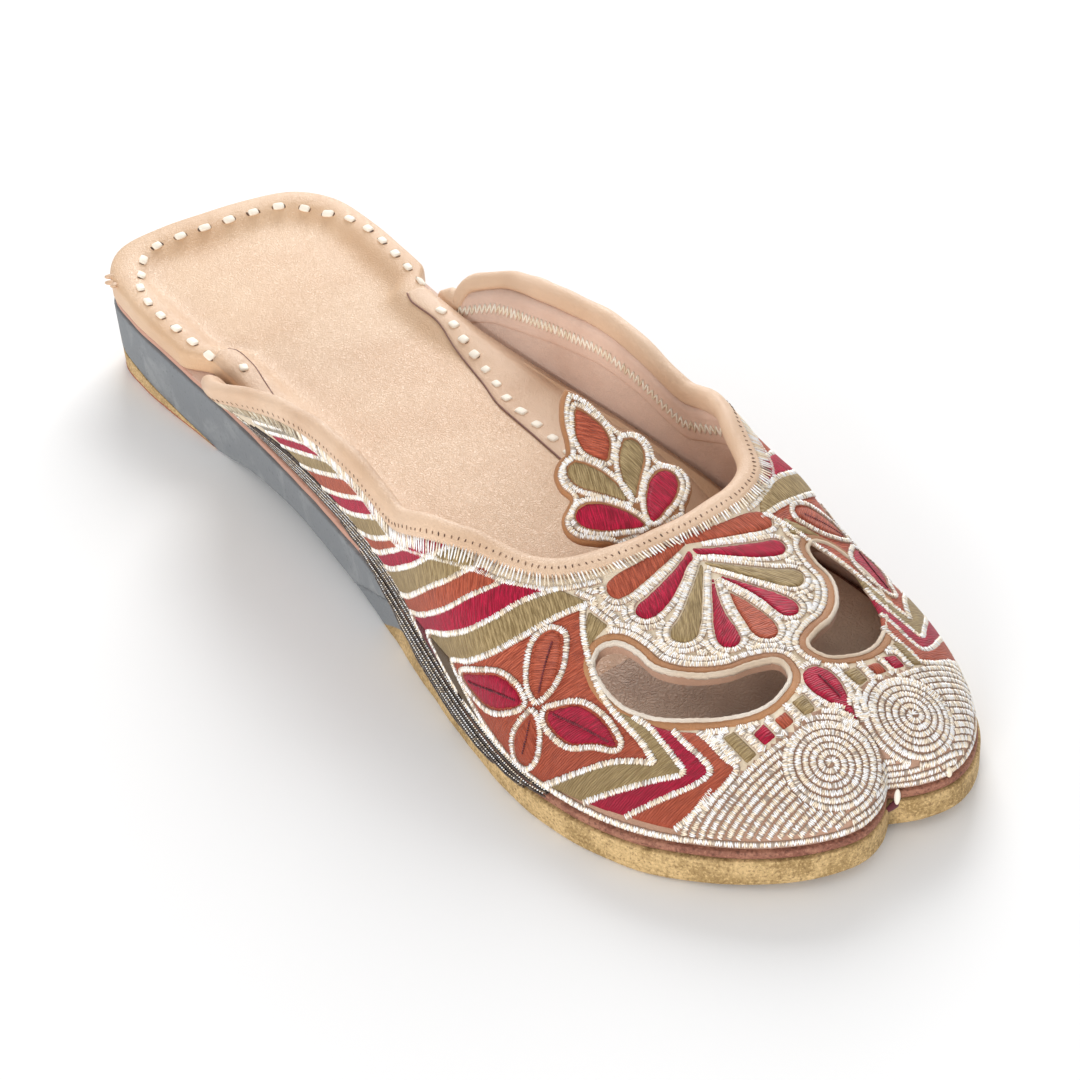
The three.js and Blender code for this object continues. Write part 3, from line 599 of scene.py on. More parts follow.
def make_finishes(colours):
    """Every material, from the colours in the panel."""
    panel = {key: tuple(getattr(colours, key)) for key in colours.__annotations__}

    def tones(key, *shades):
        """A colour of the panel in several tones."""
        return [deeper(panel[key], *shade) for shade in shades]

    plain_tone, deep = (1, 1, 1), (0.72, 0.66, 0.6)
    # after its tones a leather has its pores and wrinkles, its roughness and the depth of its grain
    FINISH.update(
        # fine grained goatskin: smooth, warm and softly lit
        footbed=leather("footbed_goatskin", *tones("footbed", plain_tone, (0.92, 0.86, 0.8)),
                        0.45, 1.1, 0.46, 0.1, coat=0.08),
        # the same skin under the vamp, greyed as painted shade: reads dark through the windows
        vamp_shade=leather("insock_goatskin_shaded", *tones("footbed", (0.92, 1.04, 1.25), (0.6, 0.66, 0.8)),
                           0.6, 1.6, 0.6, 0.2),
        # matt sheepskin: pinker and flatter than the footbed
        lining=leather("lining_sheepskin", *tones("lining", plain_tone, (0.85, 0.78, 0.74)),
                       0.45, 1.3, 0.58, 0.12),
        # kidskin turned inside the wings: a little paler and smoother than the sheepskin
        facing=leather("facing_kidskin", *tones("lining", (1.1, 1.1, 1.1), (0.95, 0.88, 0.84)),
                       0.4, 1.0, 0.55, 0.1),
        # thin glossy kid rolled over the edge: a soft highlight runs along it
        binding=leather("binding_kidskin", *tones("binding", plain_tone, (0.86, 0.8, 0.74)),
                        0.4, 0.9, 0.48, 0.12, coat=0.06),
        # dyed leather under the toe rows: a warm line between them
        ground=leather("dyed_leather_ground", *tones("ground", plain_tone, deep), 0.5, 1.0, 0.7, 0.12),
        # pale cloth under the couched fill: keeps its hollows light
        pale_ground=leather("pale_cloth_ground", *tones("zari", (1.0, 0.93, 0.8), (0.78, 0.68, 0.55)),
                            0.5, 1.0, 0.8, 0.12),
        # plain tan leather strip: a smooth band against the thread
        caramel=leather("caramel_edging_leather", *tones("caramel", plain_tone, deep), 0.45, 0.9, 0.55, 0.12),
        # split leather: pale and fuzzy where the windows are cut
        raw=leather("raw_split_leather", linear("#F7ECDE"), linear("#DFC8AE"), 0.6, 0.8, 0.85, 0.25),
        # the leather's cut thickness inside a window: brown and matt as painted shade, so that the opening
        # reads deep
        cut=leather("shaded_cut_leather", linear("#A78A74"), linear("#7C6453"), 0.5, 0.8, 0.85, 0.2),
        # sealing paint on the lift's lower edge: a thin smooth red line
        red=leather("red_sealing_paint", linear("#B5504A"), linear("#8E3434"), 0.6, 1.2, 0.5, 0.05),
        # bronze powder on a cut hide edge: mottled gold, dull in its pits; grey paint from the wedge
        # runs over its thin end
        hide=cut_edge("gilded_hide_edge", *tones("hide", plain_tone, (0.6, 0.56, 0.46), (0.32, 0.26, 0.2)),
                      paint=(*tones("wedge", plain_tone), SKIVE_BACK + 12, 1.9)),
        # the same on the heel lift, more rubbed: paler gold
        lift=cut_edge("heel_lift_edge", *tones("hide", (1.08, 1.08, 1.1), deep, (0.4, 0.34, 0.26))),
        # dyed leather edge: dark red-brown round the toe, pinkish tan where it is rubbed further back
        midsole=cut_edge("dyed_midsole_edge",
                         *tones("midsole", (0.62, 0.5, 0.42), (0.4, 0.26, 0.22), (0.16, 0.1, 0.08)),
                         paint=(*tones("midsole", plain_tone), 150, 0.0)),
        # painted board: a matt cool grey with rubbed clouds
        wedge=board("grey_fibreboard", *tones("wedge", plain_tone, (1.3, 1.28, 1.25), (0.6, 0.6, 0.62))),
        # dyed silk: fine strands, a soft shine and painted shade in the hollows between them
        rust=silk_floss("rust_silk_floss", *tones("rust", plain_tone, (0.5, 0.38, 0.34))),
        crimson=silk_floss("crimson_silk_floss", *tones("crimson", plain_tone, (0.42, 0.3, 0.36))),
        olive=silk_floss("olive_silk_floss", *tones("olive", plain_tone, (0.46, 0.42, 0.34))),
        # the same silks darkened along the sole edge as painted shade: they read as dark stripes
        olive_shade=silk_floss("shaded_olive_floss", *tones("olive", (0.34, 0.28, 0.24), (0.16, 0.13, 0.12))),
        crimson_shade=silk_floss(
            "shaded_crimson_floss", *tones("crimson", (0.34, 0.5, 0.3), (0.16, 0.3, 0.2))),
        # undyed silk, darkened as painted shade: a dull silver field at the back of the wing
        silver=silk_floss("shaded_silver_floss", *tones("zari", (0.5, 0.46, 0.4), (0.28, 0.25, 0.22))),
        # floss pressed into a fold: a dark crease without a shine, as painted shade
        vein=metal_thread("shaded_silk_fold", *map(linear, ("#7A2632", "#5E1B28", "#48141E")),
                          roughness=0.8, metallic=0.0),
        # silver-gilt thread: glitters in white, gold and grey
        zari=metal_thread("silver_gilt_zari", linear("#FFFFFF"),
                          *tones("zari", (1.0, 0.93, 0.8), (0.42, 0.38, 0.37)),
                          roughness=0.38, metallic=0.12),
        # zari greyed as painted shade: grey and buff with little glitter left
        tarnished=metal_thread(
            "tarnished_zari", *tones("zari", (0.72, 0.7, 0.62), (0.52, 0.46, 0.36), (0.26, 0.22, 0.18)),
            roughness=0.45, metallic=0.15),
        # cotton laid under the metal thread: a soft warm brown between its rows, partly painted shade
        couching=silk_floss("couched_cotton_bed", *tones("zari", (0.72, 0.58, 0.5), (0.46, 0.33, 0.27))),
        # oxidised thread: near black with a dull glint; along the sole its darkness partly stands for painted
        # shade
        dark=metal_thread("oxidised_zari", *map(linear, ("#54453A", "#382B26", "#9A8468")),
                          roughness=0.4, metallic=0.3),
        # the cotton under it: darker still and matt
        dark_couching=silk_floss("dark_couching_bed", linear("#463630"), linear("#221917")),
        # waxed cotton: creamy, rounded and slightly glossy
        cotton=metal_thread("waxed_cotton_thong", *map(linear, ("#FBF2E2", "#F2E4CC", "#E0CDB0")),
                            roughness=0.55, metallic=0.0),
        # dyed thread along the lining's margin: a thin dusky line
        plum=silk_floss("plum_edge_thread", linear("#B48C80"), linear("#8A625C")),
        # the shadow in a needle's hole: matt brown
        hole=metal_thread("needle_hole_shadow", *map(linear, ("#8A6A52", "#6A4C3A", "#553C2E")),
                          roughness=0.9, metallic=0.0),
    )


# ---- the sole


def wobble(s, seed, reach, waves=(5, 9, 16, 31, 53)):
    """Small seeded unevenness round the outline, as a hand-cut edge has, mm."""
    draw = np.random.default_rng(seed)
    total = np.zeros_like(np.asarray(s, float))
    for wave in waves:
        total += np.sin(math.tau * (wave * np.asarray(s) + draw.random())) * draw.normal(0.6, 0.2)
    return reach * total / len(waves)


def around_outline(name, rows, columns, finishes, **settings):
    """A closed body round the sole's outline. Each row is (distance in from the edge, or None for
    the centre line; height as a function of station; how far the edge wobbles, mm)."""
    s = np.arange(columns) / columns
    edge, centre, length, inward = rib(s)
    arc = lengths_along(edge)
    rings, marks = [], []
    for distance, height, rough in rows:
        if distance is None:
            plan = centre
        elif callable(distance):
            plan = edge + inward * distance(edge[:, 0], length)[:, None]
        else:
            plan = edge + inward * distance
        z = height(plan[:, 0])
        if rough:
            plan = plan + inward * wobble(s, int(rough * 1e4) % 97, rough)[:, None]
        rings.append(np.column_stack([plan, z]))
        marks.append(np.column_stack([arc, z]))
    points = np.stack(rings, 1).reshape(-1, 3)
    faces = grid_faces(columns, len(rows), wrap_rows=True)
    return new_piece(name, points, faces, finishes, uv=np.stack(marks, 1).reshape(-1, 2), **settings)


def raised(curve, amount):
    """A height curve lifted by some millimetres."""
    return lambda x: curve(x) + amount


def part_way(share):
    """Distance in that is a share of each rib."""
    return lambda x, length: share * length


def sole_top(x):
    return feather_at(x) - MIDSOLE - GAP


def lift_top(x):
    return LIFT_BACK * (1 - x / LIFT_FRONT) + 0.5


# points round the outline: of the sole, and of the midsole and the footbed
OUTLINE_STEPS = 520
LEATHER_STEPS = 480


def underfoot(name, finish, rough):
    """The whole body under the midsole, before it is cut into lift, wedge and outsole."""
    side_top = 0.35  # the side ends this far under the top face
    rows = [(None, ground_at, 0), (part_way(0.5), ground_at, 0), (2.2, ground_at, 0)]
    for turn in np.linspace(0, math.pi / 2, 4):
        rise = raised(ground_at, EDGE_ROUND * (1 - math.cos(turn)))
        rows.append((EDGE_ROUND * (1 - math.sin(turn)), rise, rough))
    for part in np.linspace(0.15, 0.85, 5):
        rows.append((0.0, lambda x, part=part: ground_at(x) + EDGE_ROUND
                     + (sole_top(x) - ground_at(x) - EDGE_ROUND - side_top) * part, rough))
    rows += [(0.0, raised(sole_top, -side_top), rough), (0.1, raised(sole_top, -0.1), rough),
             (0.35, sole_top, rough), (2.2, sole_top, 0), (part_way(0.5), sole_top, 0), (None, sole_top, 0)]
    return around_outline(name, rows, OUTLINE_STEPS, [finish])


def build_sole():
    """Heel lift, grey wedge and gilded outsole."""
    below, above, back, reach = -5, 60, -5, 80  # past the body on every side
    seam = 0.04  # the glued and painted skive shows almost no gap
    lift_front = LIFT_FRONT + GAP
    wedge_front, hide_back = SKIVE_BACK - seam, SKIVE_FRONT + seam
    skive_low = float(ground_at(SKIVE_BACK)) + 0.5
    skive_high = float(sole_top(SKIVE_FRONT)) - 0.5
    lift = [(back, below), (LIFT_FRONT, below), (LIFT_FRONT, lift_top(LIFT_FRONT)), (back, lift_top(back))]
    wedge = [(back, lift_top(back) + GAP), (lift_front, lift_top(LIFT_FRONT) + GAP), (lift_front, below),
             (wedge_front, below), (wedge_front, skive_low + seam), (SKIVE_FRONT, skive_high + seam),
             (SKIVE_FRONT, above), (back, above)]
    outsole = [(SKIVE_BACK, below), (LENGTH + 5, below), (LENGTH + 5, above), (hide_back, above),
               (hide_back, skive_high), (SKIVE_BACK, skive_low)]
    for name, loop, finish, slot, node_name, rough in (
        ("heel_lift_stack", lift, "lift", "sole_leather", "heel_lift", 0.12),
        ("wedge_block", wedge, "wedge", "wedge_board", "heel_wedge", 0.18),
        ("hide_outsole", outsole, "hide", "sole_leather", "outsole", 0.3),
    ):
        body = underfoot(name, finish, rough)
        carve(body, [prism("cutter", loop, "y", -reach, reach, finish)], "INTERSECT")
        settle(body, (node_name,))
    seal = [
        (back, below), (LIFT_FRONT + 8, below), (LIFT_FRONT + 8, 0.2), (LIFT_FRONT - 6, 0.9), (back, 1.15)]
    # distance in, height and roughness round the painted line
    rows = [(distance, raised(ground_at, height), rough) for distance, height, rough in (
        (None, 0.02, 0), (1.5, 0.02, 0), (0.75, 0.02, 0.12), (0.2, 0.3, 0.12), (-0.08, 0.75, 0.12),
        (-0.08, 1.3, 0.12), (1.5, 1.3, 0), (None, 1.3, 0))]
    line = around_outline("red_seal_line", rows, OUTLINE_STEPS, ["red"])
    carve(line, [prism("cutter", seal, "y", -reach, reach, "red")], "INTERSECT")


def build_midsole():
    """The thin leather between the sole and the upper."""
    under = raised(feather_at, -MIDSOLE)
    rows = [(None, under, 0), (part_way(0.5), under, 0), (MIDSOLE_INSET + 0.35, under, 0.2)]
    for height, distance in ((0.12, 0.1), (0.4, 0.0), (0.75, -0.05), (1.1, 0.0), (1.38, 0.1)):
        rows.append((MIDSOLE_INSET + distance, raised(under, height), 0.2))
    rows += [(MIDSOLE_INSET + 0.35, feather_at, 0.2), (part_way(0.5), feather_at, 0), (None, feather_at, 0)]
    lined_front = 80  # station to which the top face is covered like the lining

    def covered(middles):
        top = middles[:, 2] > feather_at(middles[:, 0]) - 0.06
        return (top & (middles[:, 0] < lined_front)).astype(int)

    around_outline("midsole_leather", rows, LEATHER_STEPS, ["midsole", "lining"],
                   slot="midsole_leather", replaces=("midsole",), face_material=covered)


def insole_under(x):
    return feather_at(x) + GAP


def rim_top(x):
    return insole_under(x) + insole_thickness_at(x)


def dish_depth(x):
    """How far the footbed lies below its rim."""
    return 2.7 - 1.9 * ease(x, 60, 110)


# distance in from the footbed's edge, share of the dish's depth
DISH_PROFILE = (
    (1.5, 0.0), (3.5, 0.0), (5.4, 0.06), (6.8, 0.24), (8.0, 0.5), (9.2, 0.76), (10.8, 0.93), (12.6, 0.99),
    (14.5, 1.0))
DISH_REACH = DISH_PROFILE[-1][0]


def build_footbed():
    """The padded footbed with its stitched rim round the heel."""
    wall_drop = 1.2  # the side ends this far under the rim
    shaded_back = 187  # station from which the footbed is greyed as painted shade, under the vamp

    def from_edge(extra):
        return lambda x, length: insole_edge_at(x) + extra

    def further(start, part):
        """Distance in that is a share of what is left of each rib past a start."""
        return lambda x, length: insole_edge_at(x) + start + (length - insole_edge_at(x) - start) * part

    def dished(part):
        return lambda x: rim_top(x) - dish_depth(x) * part

    rows = [(None, insole_under, 0), (further(0, 0.5), insole_under, 0),
            (from_edge(0.3), insole_under, 0), (from_edge(0.0), raised(insole_under, 0.4), 0.15)]
    for part in (0.3, 0.6, 0.85):
        rows.append((from_edge(0.0), lambda x, part=part: insole_under(x)
                     + (insole_thickness_at(x) - wall_drop) * part, 0.15))
    rows += [(from_edge(distance), raised(rim_top, -drop), 0.15)
             for distance, drop in ((0.05, wall_drop), (0.3, 0.6), (0.75, 0.2))]
    rows += [(from_edge(distance), dished(part), 0) for distance, part in DISH_PROFILE]
    rows += [(further(DISH_REACH, part), dished(1.0), 0) for part in (0.25, 0.5, 0.75)]
    rows.append((None, dished(1.0), 0))
    around_outline(
        "footbed", rows, LEATHER_STEPS, ["footbed", "vamp_shade"], slot="footbed_leather",
        replaces=("insole",), face_material=lambda middles: (middles[:, 0] > shaded_back).astype(int))


# ---- the upper


def crescent_loop(side, out=0.0, pitch=0.5):
    """The edge of a crescent window in plan, or a line that far outside it."""
    loop = spaced(spline([(x, side * y) for x, y in CRESCENT], closed=True), pitch, closed=True)
    return loop + outward_of(loop) * out


def outward_of(loop):
    """Outward normals of a closed loop in the plane."""
    loop = np.asarray(loop, float)
    along = np.roll(loop, -1, 0) - np.roll(loop, 1, 0)
    normal = unit(np.column_stack([along[:, 1], -along[:, 0]]))
    ahead = np.roll(loop, -1, 0)
    area = np.sum(loop[:, 0] * ahead[:, 1] - ahead[:, 0] * loop[:, 1])
    return normal if area > 0 else -normal


def upper_grid(columns, rows, depth=0.0):
    """Points over the upper from its feather line to the topline, as far in as depth."""
    end = share_at(WING_BACK)
    s = np.linspace(-end, end, columns)
    top = top_rise(s)
    rise = np.linspace(0, 1, rows)[None, :] * top[:, None]
    around = np.broadcast_to(s[:, None], rise.shape)
    points = upper_point(around, rise)
    if depth:
        normal = upper_normal(around, rise)
        normal[:, 0, 2] = 0
        crown = top >= 1
        normal[crown, -1, 1] = 0
        points = points - unit(normal) * depth
    return points, top


def build_upper():
    """The hollow upper, cut by the two crescent windows."""
    columns, rows = 421, 41
    outer, top = upper_grid(columns, rows)
    inner, _ = upper_grid(columns, rows, WALL)
    ring = np.concatenate([outer, inner[:, ::-1]], 1)
    size = 2 * rows
    faces = grid_faces(columns, size, wrap_columns=True).reshape(columns - 1, size, 4)
    crown = (top[:-1] >= 1) & (top[1:] >= 1)
    keep = np.ones((columns - 1, size), bool)
    keep[crown, rows - 1] = False
    dyed, lined, split, pale = range(4)
    kind = np.full((columns - 1, size), dyed)
    kind[:, rows:-1] = lined
    kind[:, -1] = split
    ends = []
    for i, column in ((0, 0), (1, columns - 1)):
        for j in range(rows - 1):
            quad = [column * size + k for k in (j, j + 1, size - 2 - j, size - 1 - j)]
            ends.append(quad if i else quad[::-1])
    every = np.vstack([faces[keep], np.array(ends)])
    kinds = np.r_[kind[keep], np.full(len(ends), split)]
    middle = ring.reshape(-1, 3)[every].mean(1)
    toe_back, hem_top = 231, 16  # the pale cloth lies behind and above these
    kinds[(kinds == dyed) & (middle[:, 0] < toe_back) & (middle[:, 2] > hem_top)] = pale
    upper = new_piece(
        "upper_shell", ring.reshape(-1, 3), every, ["ground", "lining", "raw", "pale_ground"],
        face_material=kinds, slot="upper_leather", replaces=("upper",), merge=2e-6)
    windows = [prism("window", crescent_loop(side), "z", 12, 60, "cut") for side in (1, -1)]
    return carve(upper, windows, "DIFFERENCE")


class Surfaces:
    """The outside of the upper, to lay work on. `top` takes plan points, `flank` takes station and
    girth up from the feather line, `around` takes share round the outline and girth. Each gives
    points and outward normals in mm."""

    STEP = 0.5  # mm between the tables' entries
    GIRTH = np.arange(0, 48.5, STEP)
    STATIONS = np.arange(60, 236.5, STEP)
    RIBS = 1000

    def __init__(self):
        columns, rows = 701, 91
        around = np.linspace(-share_at(WING_BACK), share_at(WING_BACK), columns)
        whole = upper_point(around[:, None], np.linspace(0, 1, rows)[None, :])
        self.tree = BVHTree.FromPolygons(whole.reshape(-1, 3).tolist(), grid_faces(columns, rows).tolist())
        rises = np.linspace(0, 1, 141)
        shares = np.linspace(0.02, 0.5, 900)
        self.flanks = {}
        at = np.empty((len(self.STATIONS), len(rises)))
        for j, rise in enumerate(rises):
            at[:, j] = np.interp(-self.STATIONS, -upper_point(shares, rise)[:, 0], shares)
        for side in (1, -1):
            s = at if side > 0 else 1 - at
            self.flanks[side] = self.by_girth(upper_point(s, rises[None, :]))
        every = np.linspace(0, 1, self.RIBS + 1)
        self.ribs = self.by_girth(upper_point(every[:, None], rises[None, :]))

    def by_girth(self, lines):
        """Lines of points resampled at even girths."""
        return np.array([read_off(self.GIRTH, lengths_along(line), line) for line in lines])

    @staticmethod
    def read(table, row, column):
        """Bilinear value of a table, and its two slopes."""
        r = np.clip(row, 0, table.shape[0] - 1.001)
        c = np.clip(column, 0, table.shape[1] - 1.001)
        i, j = r.astype(int), c.astype(int)
        u, v = (r - i)[:, None], (c - j)[:, None]
        p00, p01, p10, p11 = table[i, j], table[i, j + 1], table[i + 1, j], table[i + 1, j + 1]
        value = p00 * (1 - u) * (1 - v) + p10 * u * (1 - v) + p01 * (1 - u) * v + p11 * u * v
        down, over = (p10 - p00) * (1 - v) + (p11 - p01) * v, (p01 - p00) * (1 - u) + (p11 - p10) * u
        return value, down, over

    def flank(self, places, side):
        row, column = (np.asarray(places, float) - (self.STATIONS[0], 0)).T / self.STEP
        value, along, up = self.read(self.flanks[side], row, column)
        return value, unit(np.cross(along, up)) * -side

    def around(self, places):
        share, girth = np.asarray(places, float).T
        value, along, up = self.read(self.ribs, share % 1.0 * self.RIBS, girth / self.STEP)
        return value, unit(np.cross(along, up))

    def top(self, places):
        return dropped(self.tree, places)

    def on(self, chart, places, side=1):
        """Places in any of the charts."""
        return self.flank(places, side) if chart == "flank" else getattr(self, chart)(places)

    def nearest(self, places):
        """Points moved onto the upper's outside."""
        found = [self.tree.find_nearest(Vector(p)) for p in places]
        return np.array([f[0] for f in found]), np.array([f[1] for f in found])


# ---- the topline


def topline_path(pitch):
    """Points along the upper's edge from the left wing's end to the right one's, with outward
    normals and the direction past the edge."""
    stations = np.linspace(WING_BACK + 1, WING_FRONT - 0.5, 400)
    shares = np.linspace(0.1, 0.5, 4001)
    s_left = np.interp(-stations, -rib(shares)[0][:, 0], shares)
    left = upper_point(s_left, top_rise(s_left))
    right = upper_point(1 - s_left, top_rise(1 - s_left))[::-1]
    inner = THROAT_CURVE[(np.abs(THROAT_CURVE[:, 1]) < WING_END_Y[1] - 1.0)]
    front, _ = SURFACE["upper"].top(inner)
    line = spaced(np.vstack([left, front, right]), pitch)
    smooth = SURFACE["upper"].nearest(line)[1]
    for _ in range(6):
        smooth[1:-1] = (smooth[:-2] + 2 * smooth[1:-1] + smooth[2:]) / 4
        line[1:-1] = (line[:-2] + 2 * line[1:-1] + line[2:]) / 4
    smooth = unit(smooth)
    return line, smooth, unit(np.cross(np.gradient(line, axis=0), smooth))


def sweep(name, line, out, past, section, finish, closed=False, scale=None, **settings):
    """A closed section carried along a line, which is closed too or has its ends capped."""
    section = np.array(section, float)
    scale = np.ones(len(line)) if scale is None else scale
    rings = (line[:, None] + out[:, None] * (section[None, :, :1] * scale[:, None, None])
             + past[:, None] * (section[None, :, 1:] * scale[:, None, None]))
    size = len(line), len(section)
    faces = grid_faces(*size, wrap_rows=True, wrap_columns=True) if closed else tube_faces(*size)
    run = lengths_along(line)
    girth = lengths_along(section)
    uv = np.stack(np.broadcast_arrays(run[:, None], girth[None, :]), -1).reshape(-1, 2)
    return new_piece(name, rings.reshape(-1, 3), faces, [finish], uv=uv, **settings)


def build_binding():
    """The rolled kidskin binding over the topline."""
    line, out, past = topline_path(0.9)
    section = spaced(spline(BINDING_SECTION, closed=True), 0.55, closed=True)
    run = lengths_along(line)
    # rolled by hand: it swells and thins a little, and tapers at both ends
    scale = 1 + 0.025 * np.sin(run / 5.3) + 0.02 * np.sin(run / 2.1 + 1)
    scale *= np.minimum(1, 0.45 + np.minimum(run, run[-1] - run) / 7)
    sweep("rolled_binding", line, out, past, section, "binding", scale=scale,
          slot="binding_leather", replaces=("topline_binding",))


def tab_point(x, y):
    """A point on the face of the throat tab, and its normal."""
    slope = (tab_height_at(x + 0.1) - tab_height_at(x - 0.1)) / 0.2
    normal = unit(np.stack([-slope, 2 * TAB_CROWN * y, np.ones_like(x)], -1))
    return np.stack([x, y, tab_height_at(x) - TAB_CROWN * y * y], -1), normal


def tab_loop():
    """The tab's outline in plan."""
    half = spline(TAB_HALF, steps=16)
    return np.vstack([half, (half * (1, -1))[::-1]])


def build_tab():
    """The scalloped tab that stands up from the throat."""
    rows = spline(TAB_HALF, steps=10)
    across = np.linspace(-1, 1, 25)
    x = np.broadcast_to(rows[:, :1], (len(rows), len(across)))
    y = rows[:, 1:] * across[None, :]
    face, normal = tab_point(x, y)
    edge = (1 - np.abs(across)[None, :, None]) * rows[:, 1][:, None, None]
    drop, reach = 0.35, 0.8  # the face is rounded off this far down and in, at the edge
    rounding = drop * (1 - np.clip(edge / reach, 0, 1)) ** 2
    face = face - normal * rounding
    back = tab_point(x, y)[0] - normal * (TAB_WALL - rounding)
    ring = np.concatenate([face, back[:, ::-1]], 1)
    tube("throat_tab_leather", ring, "caramel", replaces=("throat_tab",))


# ---- the stage


FLOOR_REACH = 6.0  # m
WORLD_LIGHT = 0.64
# offset from the slipper's middle in m, side of the lamp in m, power in W
LAMPS = {"key": ((-0.95, 0.8, 0.74), 0.8, 18.5), "fill": ((0.8, -1.1, 0.3), 0.5, 10.5)}
CAMERA_PLACE = (0.4086, -0.1889, 0.2547)  # m in the part's frame
CAMERA_LOOK = (-0.6364, 0.5386, -0.5523)
CAMERA_RIGHT = (0.6460, 0.7633, 0)
CAMERA_ROLL = -0.197  # degrees
CAMERA_ZOOM = 1.4
CAMERA_LENS = 50.24  # mm on a 36 mm sensor, before the zoom
CAMERA_SHIFT = (-0.160, -0.048)


def build_stage(light):
    """A pale floor, soft lights, and the camera."""
    scene = bpy.context.scene
    floor_mesh = bpy.data.meshes.new("floor")
    corners = [(x * FLOOR_REACH, y * FLOOR_REACH, 0) for x, y in ((-1, -1), (1, -1), (1, 1), (-1, 1))]
    floor_mesh.from_pydata(corners, [], [(0, 1, 2, 3)])
    # matt white sweep: an even pale floor that takes a soft shadow
    cloth, tree, where = start_material("matt_white_sweep", 0.9, Specular_IOR_Level=0.1)
    soft = node(tree, "TexNoise", {"Vector": where, "Scale": 2.0})
    dress(cloth, linear("#F6F6F6"), [(soft, 0.3, 0.7, linear("#F3F3F3"))])
    floor_mesh.materials.append(cloth)
    linked("floor", floor_mesh)

    world = bpy.data.worlds.new("studio")
    world.use_nodes = True
    background = world.node_tree.nodes["Background"]
    background.inputs["Color"].default_value = (1, 1, 1, 1)
    background.inputs["Strength"].default_value = WORLD_LIGHT * light
    scene.world = world
    scene.view_settings.view_transform = "Standard"

    centre = (CAD_BOX[0] + CAD_BOX[1]) / 2
    for name, (offset, size, power) in LAMPS.items():
        data = bpy.data.lights.new(name, "AREA")
        data.energy, data.size = power * light, size
        lamp = linked(name, data)
        lamp.location = centre + Vector(offset)
        lamp.rotation_euler = (-Vector(offset)).to_track_quat("-Z", "Y").to_euler()

    camera = bpy.data.cameras.new("camera")
    camera.sensor_width = 36
    camera.lens = CAMERA_LENS * CAMERA_ZOOM
    camera.shift_x, camera.shift_y = (shift * CAMERA_ZOOM for shift in CAMERA_SHIFT)
    camera.clip_start, camera.clip_end = 0.01, 20
    eye = linked("camera", camera)
    back = -Vector(CAMERA_LOOK).normalized()
    right = Vector(CAMERA_RIGHT).normalized()
    right.rotate(Matrix.Rotation(math.radians(CAMERA_ROLL), 3, back))
    turned = Matrix((right, back.cross(right), back)).transposed()
    eye.matrix_world = Matrix.Translation(CAMERA_PLACE) @ turned.to_4x4()
    scene.camera = eye


# ---- stitches and floss


STITCH_SOCKETS = (
    ("Width", "NodeSocketFloat", 0.0005), ("Height", "NodeSocketFloat", 0.0005),
    ("Length spread", "NodeSocketFloat", 0.15), ("Turn spread", "NodeSocketFloat", 0.2),
    ("Detail", "NodeSocketInt", 1), ("Seed", "NodeSocketInt", 0), ("Material", "NodeSocketMaterial", None))


def stitch_tree():
    """Geometry Nodes: one stitch at every vertex, lying along `across` and standing up `out`."""
    tree = bpy.data.node_groups.new("stitch_rows", "GeometryNodeTree")
    sockets = {}
    tree.interface.new_socket("Geometry", in_out="INPUT", socket_type="NodeSocketGeometry")
    for name, kind, value in STITCH_SOCKETS:
        socket = tree.interface.new_socket(name, in_out="INPUT", socket_type=kind)
        if value is not None:
            socket.default_value = value
        sockets[name] = socket.identifier
    tree.interface.new_socket("Geometry", in_out="OUTPUT", socket_type="NodeSocketGeometry")
    given = node(tree, "NodeGroupInput").node.outputs
    across, out, length = (
        node(tree, "GeometryNodeInputNamedAttribute", {"Name": name}, data_type=kind)
        for name, kind in (("across", "FLOAT_VECTOR"), ("out", "FLOAT_VECTOR"), ("length", "FLOAT")))
    chances = []
    for shift, low in ((1.0, -1.0), (2.0, -1.0), (3.0, 0.0)):
        seed = node(tree, "Math", {0: given["Seed"], 1: shift})
        chances.append(node(tree, "FunctionNodeRandomValue", {2: low, 3: 1.0, 8: seed}, 1, data_type="FLOAT"))
    turning, stretching, tone = chances
    angle = node(tree, "Math", {0: turning, 1: given["Turn spread"]}, operation="MULTIPLY")
    turn = node(tree, "FunctionNodeAxisAngleToRotation", {0: (0, 0, 1), 1: angle})
    facing = node(
        tree, "FunctionNodeAxesToRotation", {0: out, 1: across}, primary_axis="Z", secondary_axis="X")
    turned = node(tree, "FunctionNodeRotateRotation", {0: facing, 1: turn}, rotation_space="LOCAL")
    spread = node(tree, "Math", {0: stretching, 1: given["Length spread"]}, operation="MULTIPLY")
    share = node(tree, "Math", {0: 1.0, 1: spread})
    long = node(tree, "Math", {0: length, 1: share}, operation="MULTIPLY")
    size = node(tree, "CombineXYZ", {0: long, 1: given["Width"], 2: given["Height"]})
    bead = node(tree, "GeometryNodeMeshIcoSphere", {"Radius": 0.5, "Subdivisions": given["Detail"]})
    rows = node(tree, "GeometryNodeInstanceOnPoints",
                {"Points": given["Geometry"], "Instance": bead, "Rotation": turned, "Scale": size})
    toned = node(tree, "GeometryNodeStoreNamedAttribute", {"Geometry": rows, "Name": "tone", "Value": tone},
                 data_type="FLOAT", domain="INSTANCE")
    real = node(tree, "GeometryNodeRealizeInstances", {"Geometry": toned})
    smooth = node(tree, "GeometryNodeSetShadeSmooth", {"Geometry": real})
    dressed = node(tree, "GeometryNodeSetMaterial", {"Geometry": smooth, "Material": given["Material"]})
    node(tree, "NodeGroupOutput", {0: dressed})
    return tree, sockets


STITCH = {}


